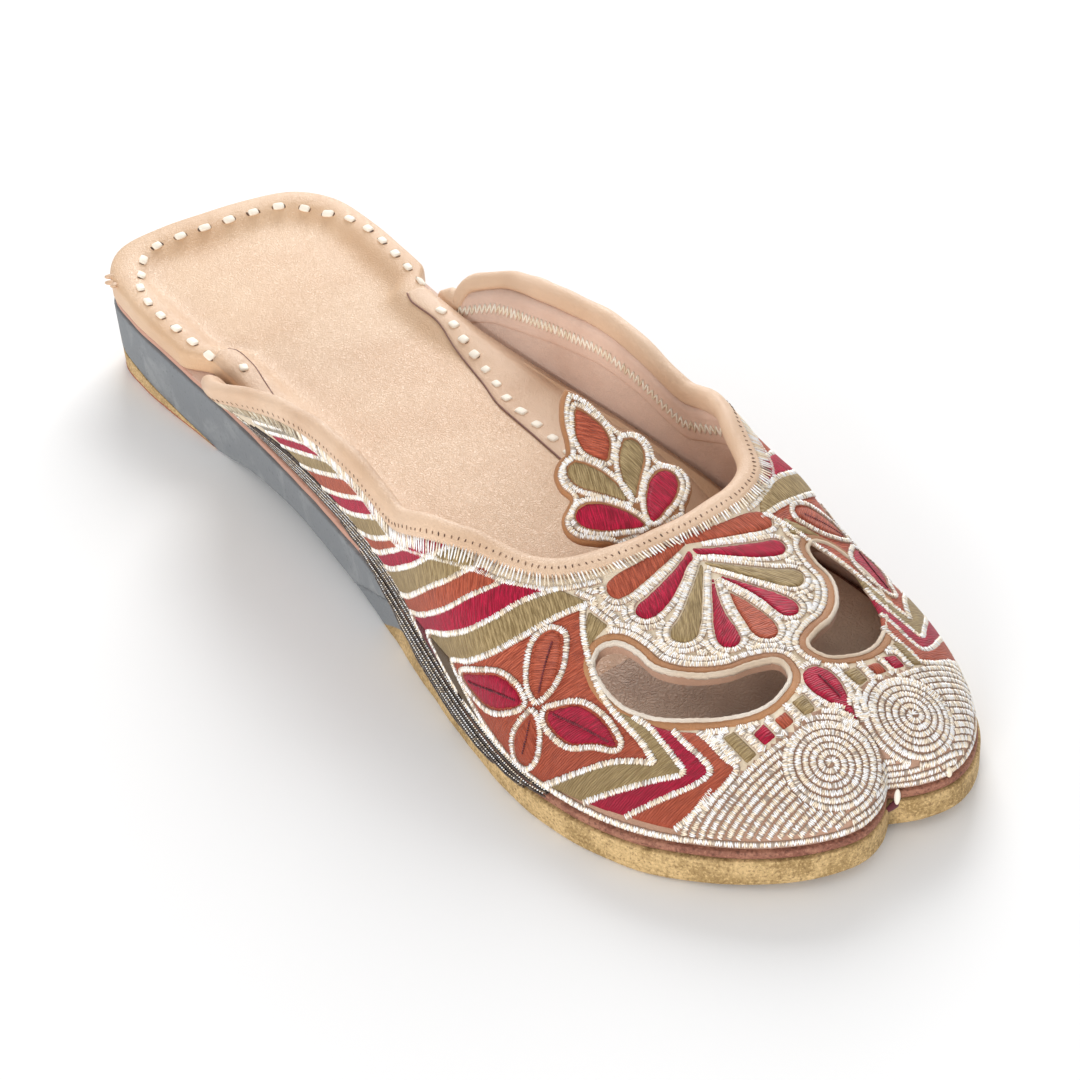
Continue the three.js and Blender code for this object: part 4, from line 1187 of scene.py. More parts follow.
def sew(name, rows, finish, width, height, spread=0.15, turn=0.2, detail=1):
    """Makes rows of stitches a piece. Each row is (points, across, out, length or lengths), mm."""
    if not STITCH:
        STITCH["tree"], STITCH["sockets"] = stitch_tree()
    mesh = mesh_of(name, np.vstack([row[0] for row in rows]))
    for key, column in (("across", 1), ("out", 2)):
        values = np.vstack([row[column] for row in rows]).astype(np.float32)
        mesh.attributes.new(key, "FLOAT_VECTOR", "POINT").data.foreach_set("vector", values.ravel())
    lengths = np.concatenate([np.broadcast_to(np.asarray(row[3], float), len(row[0])) for row in rows]) * MM
    mesh.attributes.new("length", "FLOAT", "POINT").data.foreach_set("value", lengths.astype(np.float32))
    piece = linked(name, mesh)
    change = piece.modifiers.new("stitches", "NODES")
    change.node_group = STITCH["tree"]
    values = (width * MM, height * MM, spread, turn, detail, len(rows), FINISH[finish])
    for (key, _, _), value in zip(STITCH_SOCKETS, values):
        change[STITCH["sockets"][key]] = value
    return settle(plain(piece))


def stitches_along(points, normals, pitch, length, lift=0.0, spin=0.0, zigzag=0.0):
    """A row of stitches across a line on a surface: places, directions across, normals, length.
    Spin turns them all one way, and zigzag turns them to and fro."""
    run = lengths_along(points)
    at = np.arange(pitch / 2, run[-1], pitch)
    where = read_off(at, run, points)
    out = unit(read_off(at, run, normals))
    tangent = unit(read_off(at, run, np.gradient(points, axis=0)))
    across = unit(np.cross(out, tangent))
    angle = (spin + zigzag * np.where(np.arange(len(at)) % 2, 1, -1))[:, None]
    return where + out * lift, across * np.cos(angle) + tangent * np.sin(angle), out, length


def pads(name, rows, finish, width, height, slot):
    """Flat square-ended stitches of thong, made as one piece. Each row is as in sew()."""
    corners = 16
    around = np.arange(corners) / corners * math.tau
    circle = np.column_stack([np.cos(around), np.sin(around)])
    ring = np.sign(circle) * np.abs(circle) ** 0.5 / 2  # a circle pushed out towards a square
    # share of the outline, and height as a share of the pad's
    levels = ((0.9, -0.5), (1.0, 0.0), (0.94, 0.32), (0.76, 0.5))
    top = corners * (len(levels) - 1)
    points, faces = [], []
    draw = np.random.default_rng(9)
    for places, along, out, length in rows:
        for spot, one, up, long in zip(places, along, out, np.broadcast_to(length, len(places))):
            one, over = unit(one), unit(np.cross(up, one))
            reach, half = long * draw.uniform(0.88, 1.1), width * draw.uniform(0.86, 1.08)
            base = len(points)
            for scale, rise in levels:
                for u, v in ring * scale:
                    points.append(spot + one * u * reach + over * v * half + up * rise * height)
            faces += (grid_faces(len(levels), corners, wrap_columns=True) + base).tolist()
            faces += [[base + k for k in range(corners)[::-1]], [base + top + k for k in range(corners)]]
    return new_piece(name, np.array(points), faces, [finish], slot=slot)


def inside(places, loop):
    """Which plan places lie inside a closed loop."""
    x, y = places[:, 0][:, None], places[:, 1][:, None]
    x1, y1 = loop[:, 0][None, :], loop[:, 1][None, :]
    x2, y2 = np.roll(loop[:, 0], -1)[None, :], np.roll(loop[:, 1], -1)[None, :]
    crossing = (x2 - x1) * (y - y1) / np.where(y2 == y1, 1e-9, y2 - y1) + x1
    return (((y1 > y) != (y2 > y)) & (x < crossing)).sum(1) % 2 == 1


def distance_to(places, line, closed=True):
    """Distance from each place to a line."""
    start = line if closed else line[:-1]
    span = (np.roll(line, -1, 0) if closed else line[1:]) - start
    size = np.maximum(np.sum(span**2, -1), 1e-9)
    part = places[:, None, :] - start[None]
    t = np.clip(np.sum(part * span[None], -1) / size, 0, 1)
    return np.linalg.norm(part - span[None] * t[..., None], axis=-1).min(1)


def runs_of(line, good, least=5):
    """The unbroken stretches of a line where good is true."""
    edges = np.flatnonzero(np.diff(np.r_[False, good, False].astype(int)))
    return [line[a:b] for a, b in edges.reshape(-1, 2) if b - a >= least]


def ribbon(points, normals, width, height):
    """A low closed band laid along a line, as (points, faces, uv)."""
    section = np.array([(-0.5, -0.25), (-0.42, 0.3), (-0.2, 0.9), (0.2, 0.9), (0.42, 0.3), (0.5, -0.25)])
    across = unit(np.cross(normals, np.gradient(points, axis=0)))
    rings = (points[:, None] + across[:, None] * (section[None, :, :1] * width)
             + normals[:, None] * (section[None, :, 1:] * height))
    run = lengths_along(points)
    uv = np.stack(np.broadcast_arrays(section[None, :, 0] * width, run[:, None]), -1).reshape(-1, 2)
    return rings.reshape(-1, 3), tube_faces(len(points), len(section)), uv


FLOSS_CELL = 0.55


def floss_patch(loop, surface, thread, height, vein=None, rim=0.95):
    """A padded satin-stitch patch, as a closed (points, faces, uv). The loop is in a chart of the
    surface, thread is the angle of its strands there in degrees, and a vein is a line where its
    two halves meet."""
    sunk, under = 0.12, 0.4  # how far the padding's edge and its underside lie below the surface
    crease = 0.18  # along a vein the padding is as low as this near the edge
    edge = spaced(loop, FLOSS_CELL, closed=True)
    low, high = edge.min(0), edge.max(0)
    xs = np.arange(low[0], high[0] + FLOSS_CELL, FLOSS_CELL)
    ys = np.arange(low[1], high[1] + FLOSS_CELL, FLOSS_CELL * 0.87)
    grid = np.array([(x + j % 2 * 0.5 * FLOSS_CELL, y) for j, y in enumerate(ys) for x in xs])
    grid = grid[inside(grid, edge)]
    if len(grid):
        grid = grid[distance_to(grid, edge) > 0.3 * FLOSS_CELL]
    border = [(i, (i + 1) % len(edge)) for i in range(len(edge))]
    inner_side = 1  # only what lies inside the border
    found, _, faces, _, _, _ = delaunay_2d_cdt(
        [Vector(p) for p in np.vstack([edge, grid])], border, [], inner_side, 1e-5)
    places = np.array([tuple(v) for v in found])
    depth = distance_to(places, edge)
    if vein is not None:
        depth = np.minimum(depth, crease + distance_to(places, np.array(vein, float), closed=False))
    share = np.clip(depth / rim, 0, 1)
    rise = height * np.sqrt(1 - (1 - share) ** 2) - sunk
    points, normals = surface(places)
    top = points + normals * rise[:, None]
    count = len(places)
    faces = [tuple(f) for f in faces]
    sides = {}
    for f in faces:
        for a, b in zip(f, f[1:] + f[:1]):
            if sides.pop((b, a), None) is None:
                sides[(a, b)] = True
    closed = faces + [tuple(count + k for k in f[::-1]) for f in faces]
    closed += [(b, a, count + a, count + b) for a, b in sides]
    turn = math.radians(thread)
    turned = np.array([[math.cos(turn), -math.sin(turn)], [math.sin(turn), math.cos(turn)]])
    uv = np.vstack([places @ turned] * 2)
    return np.vstack([top, points - normals * under]), closed, uv


def gather(name, parts, finish, slot="upper_leather"):
    """Joins closed parts, each (points, faces, uv), into a piece."""
    start, faces = 0, []
    for points, part, _ in parts:
        faces += [tuple(start + k for k in f) for f in part]
        start += len(points)
    apart = 7.3  # so that no two parts show the same texture
    marks = [uv + apart * i for i, (_, _, uv) in enumerate(parts)]
    points = np.vstack([points for points, _, _ in parts])
    return new_piece(name, points, faces, [finish], uv=np.vstack(marks), slot=slot, merge=0)


def nested_rows(loops, distances, keep):
    """Lines that follow closed loops at given distances outside them, each left out where another
    loop, or another part of its own, is nearer."""
    dense = [spaced(loop, 0.3, closed=True) for loop in loops]
    every = np.vstack(dense)
    tree = KDTree(len(every))
    for k, p in enumerate(every):
        tree.insert((p[0], p[1], 0), k)
    tree.balance()
    steps = (0.0, 0.25, 0.5, 0.75)
    lines = []
    for loop in dense:
        normal = outward_of(loop)
        ahead = np.roll(normal, -1, 0)
        fan = np.stack([unit(normal * (1 - t) + ahead * t) for t in steps], 1).reshape(-1, 2)
        roots = np.stack([loop * (1 - t) + np.roll(loop, -1, 0) * t for t in steps], 1).reshape(-1, 2)
        for distance in distances:
            line = roots + fan * distance
            near = np.array([tree.find((p[0], p[1], 0))[2] for p in line])
            lines += runs_of(line, (near > distance - 0.08) & keep(line))
    return lines


# ---- the pattern, mm


def mirrored(half):
    """A closed outline from the half of it that starts and ends on the axis."""
    return half + [(x, -y) for x, y in half[-2:0:-1]]


axis_at = reader([(184, 1.2), (196, 1.0), (206, 0.4), (212, -0.2), (225, -0.5), (243, -0.4)])

# the fan on the vamp: dye, angle of the strands, and (station, distance from the pattern's axis)
FAN_PETALS = [
    ("rust", 15, [(184.6, 0), (185.3, 5), (185.6, 10), (185.7, 15.5), (186.4, 18), (188, 18.9), (189.8, 18.2),
     (190.3, 16), (189.7, 11.5), (188.4, 6), (187, 1), (186.6, 0)]),
    ("crimson", 20, [(187.6, 0.2), (189.6, 4), (191.3, 9), (192.4, 13.5), (192.8, 16), (194, 17.2),
     (195.8, 16.6), (196.6, 14.6), (195.6, 10.5), (193.4, 6.5), (191, 3), (189.6, 0.5)]),
    ("olive", 35, [(191.2, 0.1), (193.6, 3.2), (197, 7.8), (199.6, 11.8), (200.6, 14.2), (202.3, 15.2),
     (204.4, 14), (205, 11.6), (203.2, 9.2), (199.4, 6), (195.4, 2.8), (192.2, 0.3)]),
    ("crimson", 60, [(194.4, 0.2), (197.5, 2.6), (201, 5), (204.8, 7.6), (207.6, 8.9), (209.8, 8.8), (211, 7),
     (210.4, 5.2), (208, 4.4), (203.8, 3.8), (199.6, 2.4), (195.4, 0.4)]),
]
FAN_HEART = [(199.3, 0), (203, 1.3), (207, 2.1), (210.5, 2.5), (212.6, 1.7), (213.3, 0)]
LEAF = [(222.6, 0), (223.2, 1.6), (225, 2.7), (227.3, 2.9), (230, 2.2), (233, 1.1), (236, 0)]
LEAF_VEIN = [(225, 0.3), (231, 0.3)]
SQUARES = [
    ("olive", 90, [(226.8, 4.5), (230.7, 4.8), (230.5, 7.4), (226.8, 7.4)]),
    ("rust", 0, [(227.6, 9.3), (230.3, 9.3), (230.3, 12), (227.6, 12)]),
    ("crimson", 90, [(227, 13.6), (230.4, 13.5), (230.4, 16.2), (227.3, 16.4)]),
    ("olive", 80, [(224.6, 18.2), (230.6, 17.9), (230.8, 20.4), (224.2, 20.4)]),
]
SHOULDER_LEAF = (
    "olive", 60, [(188.4, 22.4), (191, 21.8), (192.9, 21.2), (193.4, 24.4), (194.6, 28), (191.2, 25.4)])

# the flank, by station and girth up from the feather line: pale lines between the bands, each from
# the topline down; the first three turn forward along the sole
BAND_LINES = [
    [(187.8, 32.6), (186.2, 27), (184.4, 20), (182, 15), (177.2, 10), (171.2, 5.6), (176, 3.6), (183, 1.8),
     (192, 0.6)],
    [(182.4, 31), (180.2, 25), (178.6, 20), (175.2, 15), (169.2, 10), (160.4, 3.4), (166, 1.8), (174, 0.6)],
    [(175, 25.5), (173.6, 22.5), (171.6, 19.4), (168.3, 15), (163, 10), (157, 5), (152.4, 1.8), (158, 0.6)],
    [(169.2, 24.5), (167.6, 21.6), (165.4, 18.4), (161.6, 14.6), (157, 10), (151.6, 5), (147.5, 2.4)],
    [(163, 24), (160.4, 20.6), (157.9, 17.6), (154.6, 14.2), (149.6, 10), (143.6, 5.4), (140, 3.4)],
    [(156.5, 21.5), (153.4, 18.3), (150.4, 15.2), (147.2, 12.3), (143.2, 9.2), (138.2, 5.4), (134.6, 3.6)],
    [(147.6, 15.8), (145, 13.6), (142, 11.4), (138.8, 9.2), (135.2, 7), (131, 5.2), (128.5, 4.4)],
    [(142, 16), (138.8, 14), (135.4, 12), (131.8, 10), (127.8, 8), (123.6, 6.4), (121, 5.6)],
    [(136.6, 16.8), (133, 14.9), (129.2, 12.9), (125.2, 10.9), (121, 9), (116.6, 7.2), (113.6, 6.2)],
    [(130.2, 17.6), (126, 15.9), (121.8, 14), (117.4, 12), (112.8, 10), (108.2, 8.2), (104.6, 7)],
    [(123.6, 18), (119, 16.3), (114.6, 14.6), (110, 12.8), (105.4, 11), (101, 9.4), (97.4, 8.2)],
    [(114.4, 17.4), (110.4, 16), (106.6, 14.6), (102.8, 13.2), (99, 11.8), (95.2, 10.4), (92.4, 9.4)],
    [(106, 16.4), (103, 15.3), (100, 14.2), (97, 13.1), (94, 12.1), (91.2, 11.2), (88.6, 10.4)],
]
BAND_DYES = ["olive", "crimson", "rust", "olive", "crimson", "rust", "olive", "crimson", "rust", "olive",
             "crimson", "silver"]
# dark stripes along the sole edge, standing partly for painted shade: girth, from station, to station
STRIPES = [(0.9, 70, 166), (2.1, 72, 151), (3.3, 75, 141), (4.5, 79, 131), (5.7, 83, 120), (6.9, 86, 108)]
# the striped hem comes down over the sole edge: drop, inset, from station, to station
HEM_STRIPES = [
    (-0.15, 1.0, 118, 214), (0.6, 0.4, 128, 206), (1.7, 0.0, 136, 200), (2.8, -0.2, 144, 190),
    (3.8, -0.2, 151, 180)]
FRAME_TOP = [
    (187.4, 31), (191, 27.2), (195, 24), (200, 20.9), (205, 18.6), (210, 17.1), (215, 15.3), (219, 12.9)]
FRAME_FOOT = [(219, 12.9), (216, 11.9), (213, 10.2), (210.4, 7.6), (208, 5), (205.6, 2.6), (203.6, 0.9)]
CHEVRON_LINES = [
    [(209.8, 19), (213.4, 18.6), (216.8, 17.2), (220.6, 15.2), (224, 12.6), (221.6, 10.4), (219, 8),
     (215.8, 5), (212.4, 1.8)],
    [(217, 19.8), (220.6, 18.2), (224.4, 16.4), (227.2, 14.2), (227.3, 12.3), (226.4, 10.2), (225, 8.3),
     (222.8, 5.4), (220.4, 2.4)],
    [(220.4, 21.2), (222.8, 20.2), (227.4, 17.4), (230, 15.8), (230.6, 13.2), (230.7, 11), (230.3, 8.6),
     (229.6, 5.4), (228.4, 2.2)],
]
# front and foot of the flank's zone that the vamp's rows keep clear of; the frame's top and the
# first band close it
ZONE_FRONT = [
    (214, 19.4), (217, 19.9), (220.4, 21.2), (222.8, 20.3), (227.4, 17.6), (231.5, 15.4), (231.5, 1),
    (165, 1)]
CHEVRON_DYES = ["olive", "crimson", "rust"]
FLOWER = [  # dye, strand angle, petal, vein
    ("rust", 40, [(193.8, 12.6), (191.3, 13.9), (188.8, 17), (186.9, 20.8), (187.3, 23.8), (189, 24.2),
     (190.6, 22.6), (193.1, 18.9), (194.1, 15.1)], [(193.4, 13.6), (191, 18), (188.8, 22.4)]),
    ("crimson", 70, [(196.6, 12), (200.6, 15.8), (204.4, 16.1), (208.1, 15.1), (211.6, 12.9), (208.1, 11.7),
     (204.4, 9.5), (200, 9.8), (197.5, 10.8)], [(198, 12.1), (204, 12.9), (210, 13)]),
    ("crimson", 110, [(191.6, 10.8), (188.8, 12), (185, 12), (181.3, 10.1), (175.6, 5.8), (180, 5.3),
     (185, 5.8), (188.8, 7.6), (191.6, 10.1)], [(190.4, 10.3), (184.6, 8.9), (178, 6.4)]),
    ("rust", 150, [(194.5, 10.1), (193.8, 7), (193.8, 4.5), (195.6, 1.9), (198.1, 1.9), (199.4, 3.9),
     (198.1, 7), (196.3, 8.9)], [(195, 9), (196.2, 6), (196.8, 3.2)]),
]
SPIRAL = (239.5, 9.5)  # station, distance from the pattern's axis
ROW_PITCH = 1.28
TOE_BACK = 231.2  # where the toe's rows start
WHIP_PITCH = 0.68
# behind this station the thread along the topline is greyed as painted shade
SHADE_FRONT = 110
# degrees: the strands of a band against its line, then those of the folds along the sole, of the
# chevrons and middle petals, and of the field behind the flower
BAND_SKEW, FOLD_STRANDS, MIDDLE_STRANDS, FIELD_STRANDS = 78, 95, 80, 75
# upward part of the normal below which the toe counts as steep
STEEP = 0.42

TAB_PETALS = [  # dye, strand angle, (station, y); those off the middle are mirrored
    ("rust", 60, mirrored([(155.4, 0), (156.2, 1), (157.4, 1.9), (158.8, 2.8), (160.2, 3.1), (161.6, 2.9),
     (163, 1.8), (164.3, 0)])),
    ("olive", 20, [(162.3, 5.6), (162.4, 7.3), (163.4, 8.3), (164.9, 8.2), (166.5, 7.1), (168.3, 5),
     (170.2, 2.8), (171.8, 0.9), (171, 0.4), (169, 0.6), (167.2, 1.2), (165.4, 2.2), (163.8, 3.6)]),
    ("crimson", 20, [(168.9, 8.2), (168.9, 10.2), (169.9, 11.5), (171.5, 11.3), (173.2, 9.8), (174.8, 7.4),
     (175.9, 4.8), (176.9, 2.2), (176.9, 0.9), (175.4, 1.1), (173.4, 2.2), (171.6, 3.8), (169.9, 5.9)]),
]


def on_axis(points, side=1):
    """Pattern places to plan places: the pattern's axis wanders a little."""
    points = np.array(points, float)
    return np.column_stack([points[:, 0], axis_at(points[:, 0]) + side * points[:, 1]])


def petal(points):
    """A smooth petal with a pointed root, as a closed loop."""
    return spline(list(points) + [points[0]], steps=8)[:-1]


def between(first, second):
    """The closed loop between two lines that run the same way."""
    return np.vstack([spline(first, steps=6), spline(second, steps=6)[::-1]])


def tab_petals():
    """The tab's petals as (dye, strand angle, loop), with those off the middle on both sides."""
    return [
        (dye, side * angle, petal(points) * (1, side))
        for dye, angle, points in TAB_PETALS for side in ((1,) if dye == "rust" else (1, -1))]


def all_patches():
    """Every floss patch on the upper as (dye, chart, side, loop, strand angle, vein)."""
    found = []
    lines = [FRAME_TOP[4:] + FRAME_FOOT[1:]] + CHEVRON_LINES
    for side in (1, -1):
        for dye, angle, points in FAN_PETALS:
            found.append((dye, "top", side, on_axis(petal(points), side), side * angle, None))
        for dye, angle, points in SQUARES:
            found.append((dye, "top", side, on_axis(spaced(points, 0.6, closed=True), side), angle, None))
        dye, angle, points = SHOULDER_LEAF
        leaf = spaced(points, 0.6, closed=True) * (1, side)
        found.append((dye, "top", side, leaf, side * angle, None))
        for dye, above, below in zip(BAND_DYES, BAND_LINES, BAND_LINES[1:]):
            # the strands lean with the band's upper part
            (x1, g1), (x2, g2) = above[0], above[4]
            lean = math.degrees(math.atan2(g1 - g2, x1 - x2)) + BAND_SKEW
            tips = [int(np.argmin([x for x, _ in line])) for line in (above, below)]
            band = between(above[: tips[0] + 1], below[: tips[1] + 1])
            found.append((dye, "flank", side, band, lean, None))
            # the part turned along the sole takes the darker floss: painted shade
            if min(len(above) - tips[0], len(below) - tips[1]) > 1:
                fold = between(above[tips[0]:], below[tips[1]:])
                found.append((dye + "_shade", "flank", side, fold, FOLD_STRANDS, None))
        for dye, above, below in zip(CHEVRON_DYES, lines, lines[1:]):
            found.append((dye, "flank", side, between(above, below), MIDDLE_STRANDS, None))
        for dye, angle, points, vein in FLOWER:
            found.append((dye, "flank", side, petal(points), angle, vein))
    heart, leaf = (on_axis(petal(mirrored(half))) for half in (FAN_HEART, LEAF))
    found.append(("rust", "top", 1, heart, MIDDLE_STRANDS, None))
    found.append(("crimson", "top", 1, leaf, MIDDLE_STRANDS, on_axis(LEAF_VEIN)))
    return found


def build_floss(rise):
    """Satin-stitch patches in three dyes, with the flat field behind the flower."""
    upper = SURFACE["upper"]
    made = {dye: [] for dye in ("rust", "crimson", "olive", "olive_shade", "crimson_shade", "silver")}
    for dye, chart, side, loop, angle, vein in all_patches():
        made[dye].append(floss_patch(loop, lambda p: upper.on(chart, p, side), angle, rise, vein))
    field = np.vstack([spline(FRAME_TOP, steps=6), spline(FRAME_FOOT, steps=6)[1:],
                       spline(BAND_LINES[0][::-1], steps=6)])
    for side in (1, -1):
        made["rust"].append(
            floss_patch(field, lambda p: upper.on("flank", p, side), FIELD_STRANDS, 0.4 * rise))
    for dye, angle, loop in tab_petals():
        made[dye].append(floss_patch(loop, lambda p: tab_point(p[:, 0], p[:, 1]), angle, 0.9 * rise))
    for dye, patches in made.items():
        gather(f"satin_stitch_{dye}", patches, dye)


class ThreadWork:
    """Couched thread, gathered under names and sewn into pieces in the end."""

    BED_WIDTH = 0.86  # share of the stitches' length
    BED_SINK = 0.72  # share of the bed's height at which the stitches lie

    def __init__(self, finish, bed, pitch):
        self.finish, self.bed, self.pitch, self.rows, self.beds = finish, bed, pitch, {}, {}

    def row(self, book, points, normals, length=1.4, pitch=None, height=0.42, spin=0.0, bedded=True):
        """One row along points on a surface; its stitches lie across it, over a padded bed."""
        if len(points) < 3 or lengths_along(points)[-1] < 0.8:
            return
        if bedded:
            coarse = slice(None, None, 2) if len(points) > 8 else slice(None)
            bed = ribbon(points[coarse], normals[coarse], length * self.BED_WIDTH, height)
            self.beds.setdefault(book, []).append(bed)
        row = stitches_along(points, normals, pitch or self.pitch, length, height * self.BED_SINK, spin)
        self.rows.setdefault(book, []).append(row)

    def lay(self, book, chart, line, side=1, **settings):
        """A row along a line in one of the upper's charts."""
        self.row(book, *SURFACE["upper"].on(chart, spaced(line, 0.35), side), **settings)

    def finish_off(self, width, height):
        for book, rows in self.rows.items():
            sew(f"{book}_stitches", rows, self.finish, width, height, spread=0.2, turn=0.32)
        for book, beds in self.beds.items():
            gather(f"{book}_couching", beds, self.bed)


def plan_of(loop, side):
    """A flank loop in plan."""
    return SURFACE["upper"].flank(spaced(loop, 0.5, closed=True), side)[0][:, :2]


def lay_flanks(work):
    """The pale lines of the bands, the frame, the chevrons and the flower."""
    for side, name in SIDES:
        book = f"zari_{name}"
        for line in BAND_LINES + [FRAME_TOP, FRAME_FOOT] + CHEVRON_LINES:
            work.lay(book, "flank", spline(line), side, length=1.5)
        for _, _, points, _ in FLOWER:
            loop = petal(points)
            rim = loop + outward_of(loop) * 0.75
            work.lay(book, "flank", np.vstack([rim, rim[:1]]), side, length=1.35, height=0.6)
        # the lowest row, just over the feather line
        work.lay(book, "flank", [(x, 0.7) for x in np.arange(176, 231, 0.5)], side, length=1.1)


def lay_veins():
    """Painted shade: dark stitches in the folds where the halves of the flower's petals and of the toe leaf
    meet.
    """
    fold_shade = ThreadWork("vein", "vein", 0.4)
    for side in (1, -1):
        for _, _, _, vein in FLOWER:
            fold_shade.lay("vein_fold", "flank", spline(vein), side, length=0.5, height=0.62, bedded=False)
    fold_shade.lay("vein_fold", "top", on_axis(LEAF_VEIN), length=0.5, height=0.62, bedded=False)
    fold_shade.finish_off(0.3, 0.3)


def lay_vamp(work):
    """Nested rows that fill the vamp round the fan and the windows."""
    loops = []
    flank_top, flank_back = 16, 170  # flank patches above this girth and in front can meet the rows
    for _, chart, side, loop, _, _ in all_patches():
        if chart == "top":
            loops.append(loop)
        elif loop[:, 1].max() > flank_top and loop[:, 0].max() > flank_back:
            loops.append(plan_of(loop, side))
    zone = np.vstack([spline(FRAME_TOP[:6], steps=6), ZONE_FRONT, spline(BAND_LINES[0][:6][::-1], steps=6)])
    for side in (1, -1):
        loops += [plan_of(zone, side), crescent_loop(side, 1.8)]
    throat_half, behind = 30, 150
    throat = THROAT_CURVE[np.abs(THROAT_CURVE[:, 1]) < throat_half]
    loops.append(np.vstack([throat, [(behind, throat[-1, 1]), (behind, throat[0, 1])]]))
    back, front, half = 178, 231.0, 33
    leaf_front, leaf_half = 236.5, 3.4  # beside the toe leaf the rows run further forward
    topline_margin = 3.0

    def keep(line):
        x, y = line[:, 0], line[:, 1]
        good = (x < front) | ((x < leaf_front) & (np.abs(y) < leaf_half))
        good &= (np.abs(y) < half) & (x > back) & (x > throat_station(y) + topline_margin)
        for loop in loops:
            low, high = loop.min(0), loop.max(0)
            near = good & (line > low).all(1) & (line < high).all(1)
            if near.any():
                good[near] &= ~inside(line[near], loop)
        return good

    distances = [0.7, 1.9, 3.1, 4.3, 5.5, 6.7]  # out from each loop
    for line in nested_rows(loops, distances, keep):
        work.lay("zari_vamp", "top", line, length=1.4)


def lay_toe(work, pitch):
    """A spiral on each lobe, rows that wrap it, rows that run out beside it, and hems on the
    steep edge. All are drawn flat, then wrapped, so that their pitch is kept on the slopes."""
    upper = SURFACE["upper"]
    lobe_turns, outer_rows = 6, 10
    reach = pitch * lobe_turns
    sectors = 72
    angles, circle = np.linspace(-math.pi, math.pi, sectors + 1), np.linspace(0, math.tau, 200)
    rays = np.arange(0, 34, 0.5)
    above_hem, off_axis = 1.35, 0.45
    back_end, front_end, straight_end = 30, 22, 32  # how far out the rows run from the lobe's middle
    hem_pitch, hem_top = pitch * 0.95, 1.5  # below that girth the hem's rows go all the way round

    def ring(angle, radius):
        return np.column_stack([np.cos(angle), np.sin(angle)]) * np.reshape(radius, (-1, 1))

    for side in (1, -1):
        centre = on_axis([SPIRAL], side)[0]
        arcs = [
            lengths_along(upper.top(centre + ring(np.full(len(rays), angle), rays))[0]) for angle in angles]

        def across_toe(flat):
            """Wraps a flat line over the toe and keeps its parts above the hem."""
            flat = spaced(flat, 0.3)
            angle, far = np.arctan2(flat[:, 1], flat[:, 0]), np.hypot(flat[:, 0], flat[:, 1])
            at = (angle + math.pi) / math.tau * sectors
            low = np.minimum(at.astype(int), sectors - 1)
            one, two = (
                np.array([np.interp(r, arcs[k + step], rays) for r, k in zip(far, low)]) for step in (0, 1))
            line = centre + ring(angle, one + (two - one) * (at - low))
            points, normals = upper.top(line)
            good = (np.abs(points[:, :2] - line).max(1) < 0.2) & (normals[:, 2] > STEEP)
            good &= points[:, 2] > feather_at(points[:, 0]) + above_hem
            good &= line[:, 0] > TOE_BACK - 2.2 * ease(np.abs(line[:, 1]), 20, 30)
            good &= side * (line[:, 1] - axis_at(line[:, 0])) > off_axis
            for run in runs_of(np.arange(len(line)), good, 6):
                work.row("zari_toe", points[run], normals[run], length=pitch)

        turns = np.linspace(0.2, lobe_turns - 0.1, 700)
        across_toe(ring(side * turns * math.tau, pitch * turns))
        across_toe(ring(circle, reach))
        for k in range(outer_rows):
            radius = reach + pitch * (k + 1)
            arc = ring(np.linspace(math.pi, math.tau, 90), radius) * (1, side)
            across_toe(np.vstack([[(-radius, side * back_end)], arc, [(radius, side * front_end)]]))
        for m in range(-lobe_turns, lobe_turns + 1):
            start = math.sqrt(max((reach + 0.5 * pitch) ** 2 - (m * pitch) ** 2, 0))
            across_toe([(m * pitch, side * start), (m * pitch, side * straight_end)])
    front = share_at(TOE_BACK)
    shares = np.linspace(-front, front, 900)
    for girth in np.arange(0.9, 9, hem_pitch):
        points, normals = upper.around(np.column_stack([shares, np.full(len(shares), girth)]))
        steep = (normals[:, 2] < STEEP) | (girth < hem_top)
        for run in runs_of(np.arange(len(shares)), steep, 8):
            work.row("zari_toe", points[run], normals[run], length=hem_pitch)


def lay_tab(work):
    """Pale outlines on the throat tab."""
    edge = tab_loop()
    rim = edge - outward_of(edge) * 1.0
    rim = rim[rim[:, 0] < 178]
    work.row("zari_tab", *tab_point(rim[:, 0], rim[:, 1]), length=1.25)
    for _, _, loop in tab_petals():
        line = loop + outward_of(loop) * 0.7
        line = spaced(np.vstack([line, line[:1]]), 0.35)
        work.row("zari_tab", *tab_point(line[:, 0], line[:, 1]), length=1.35)


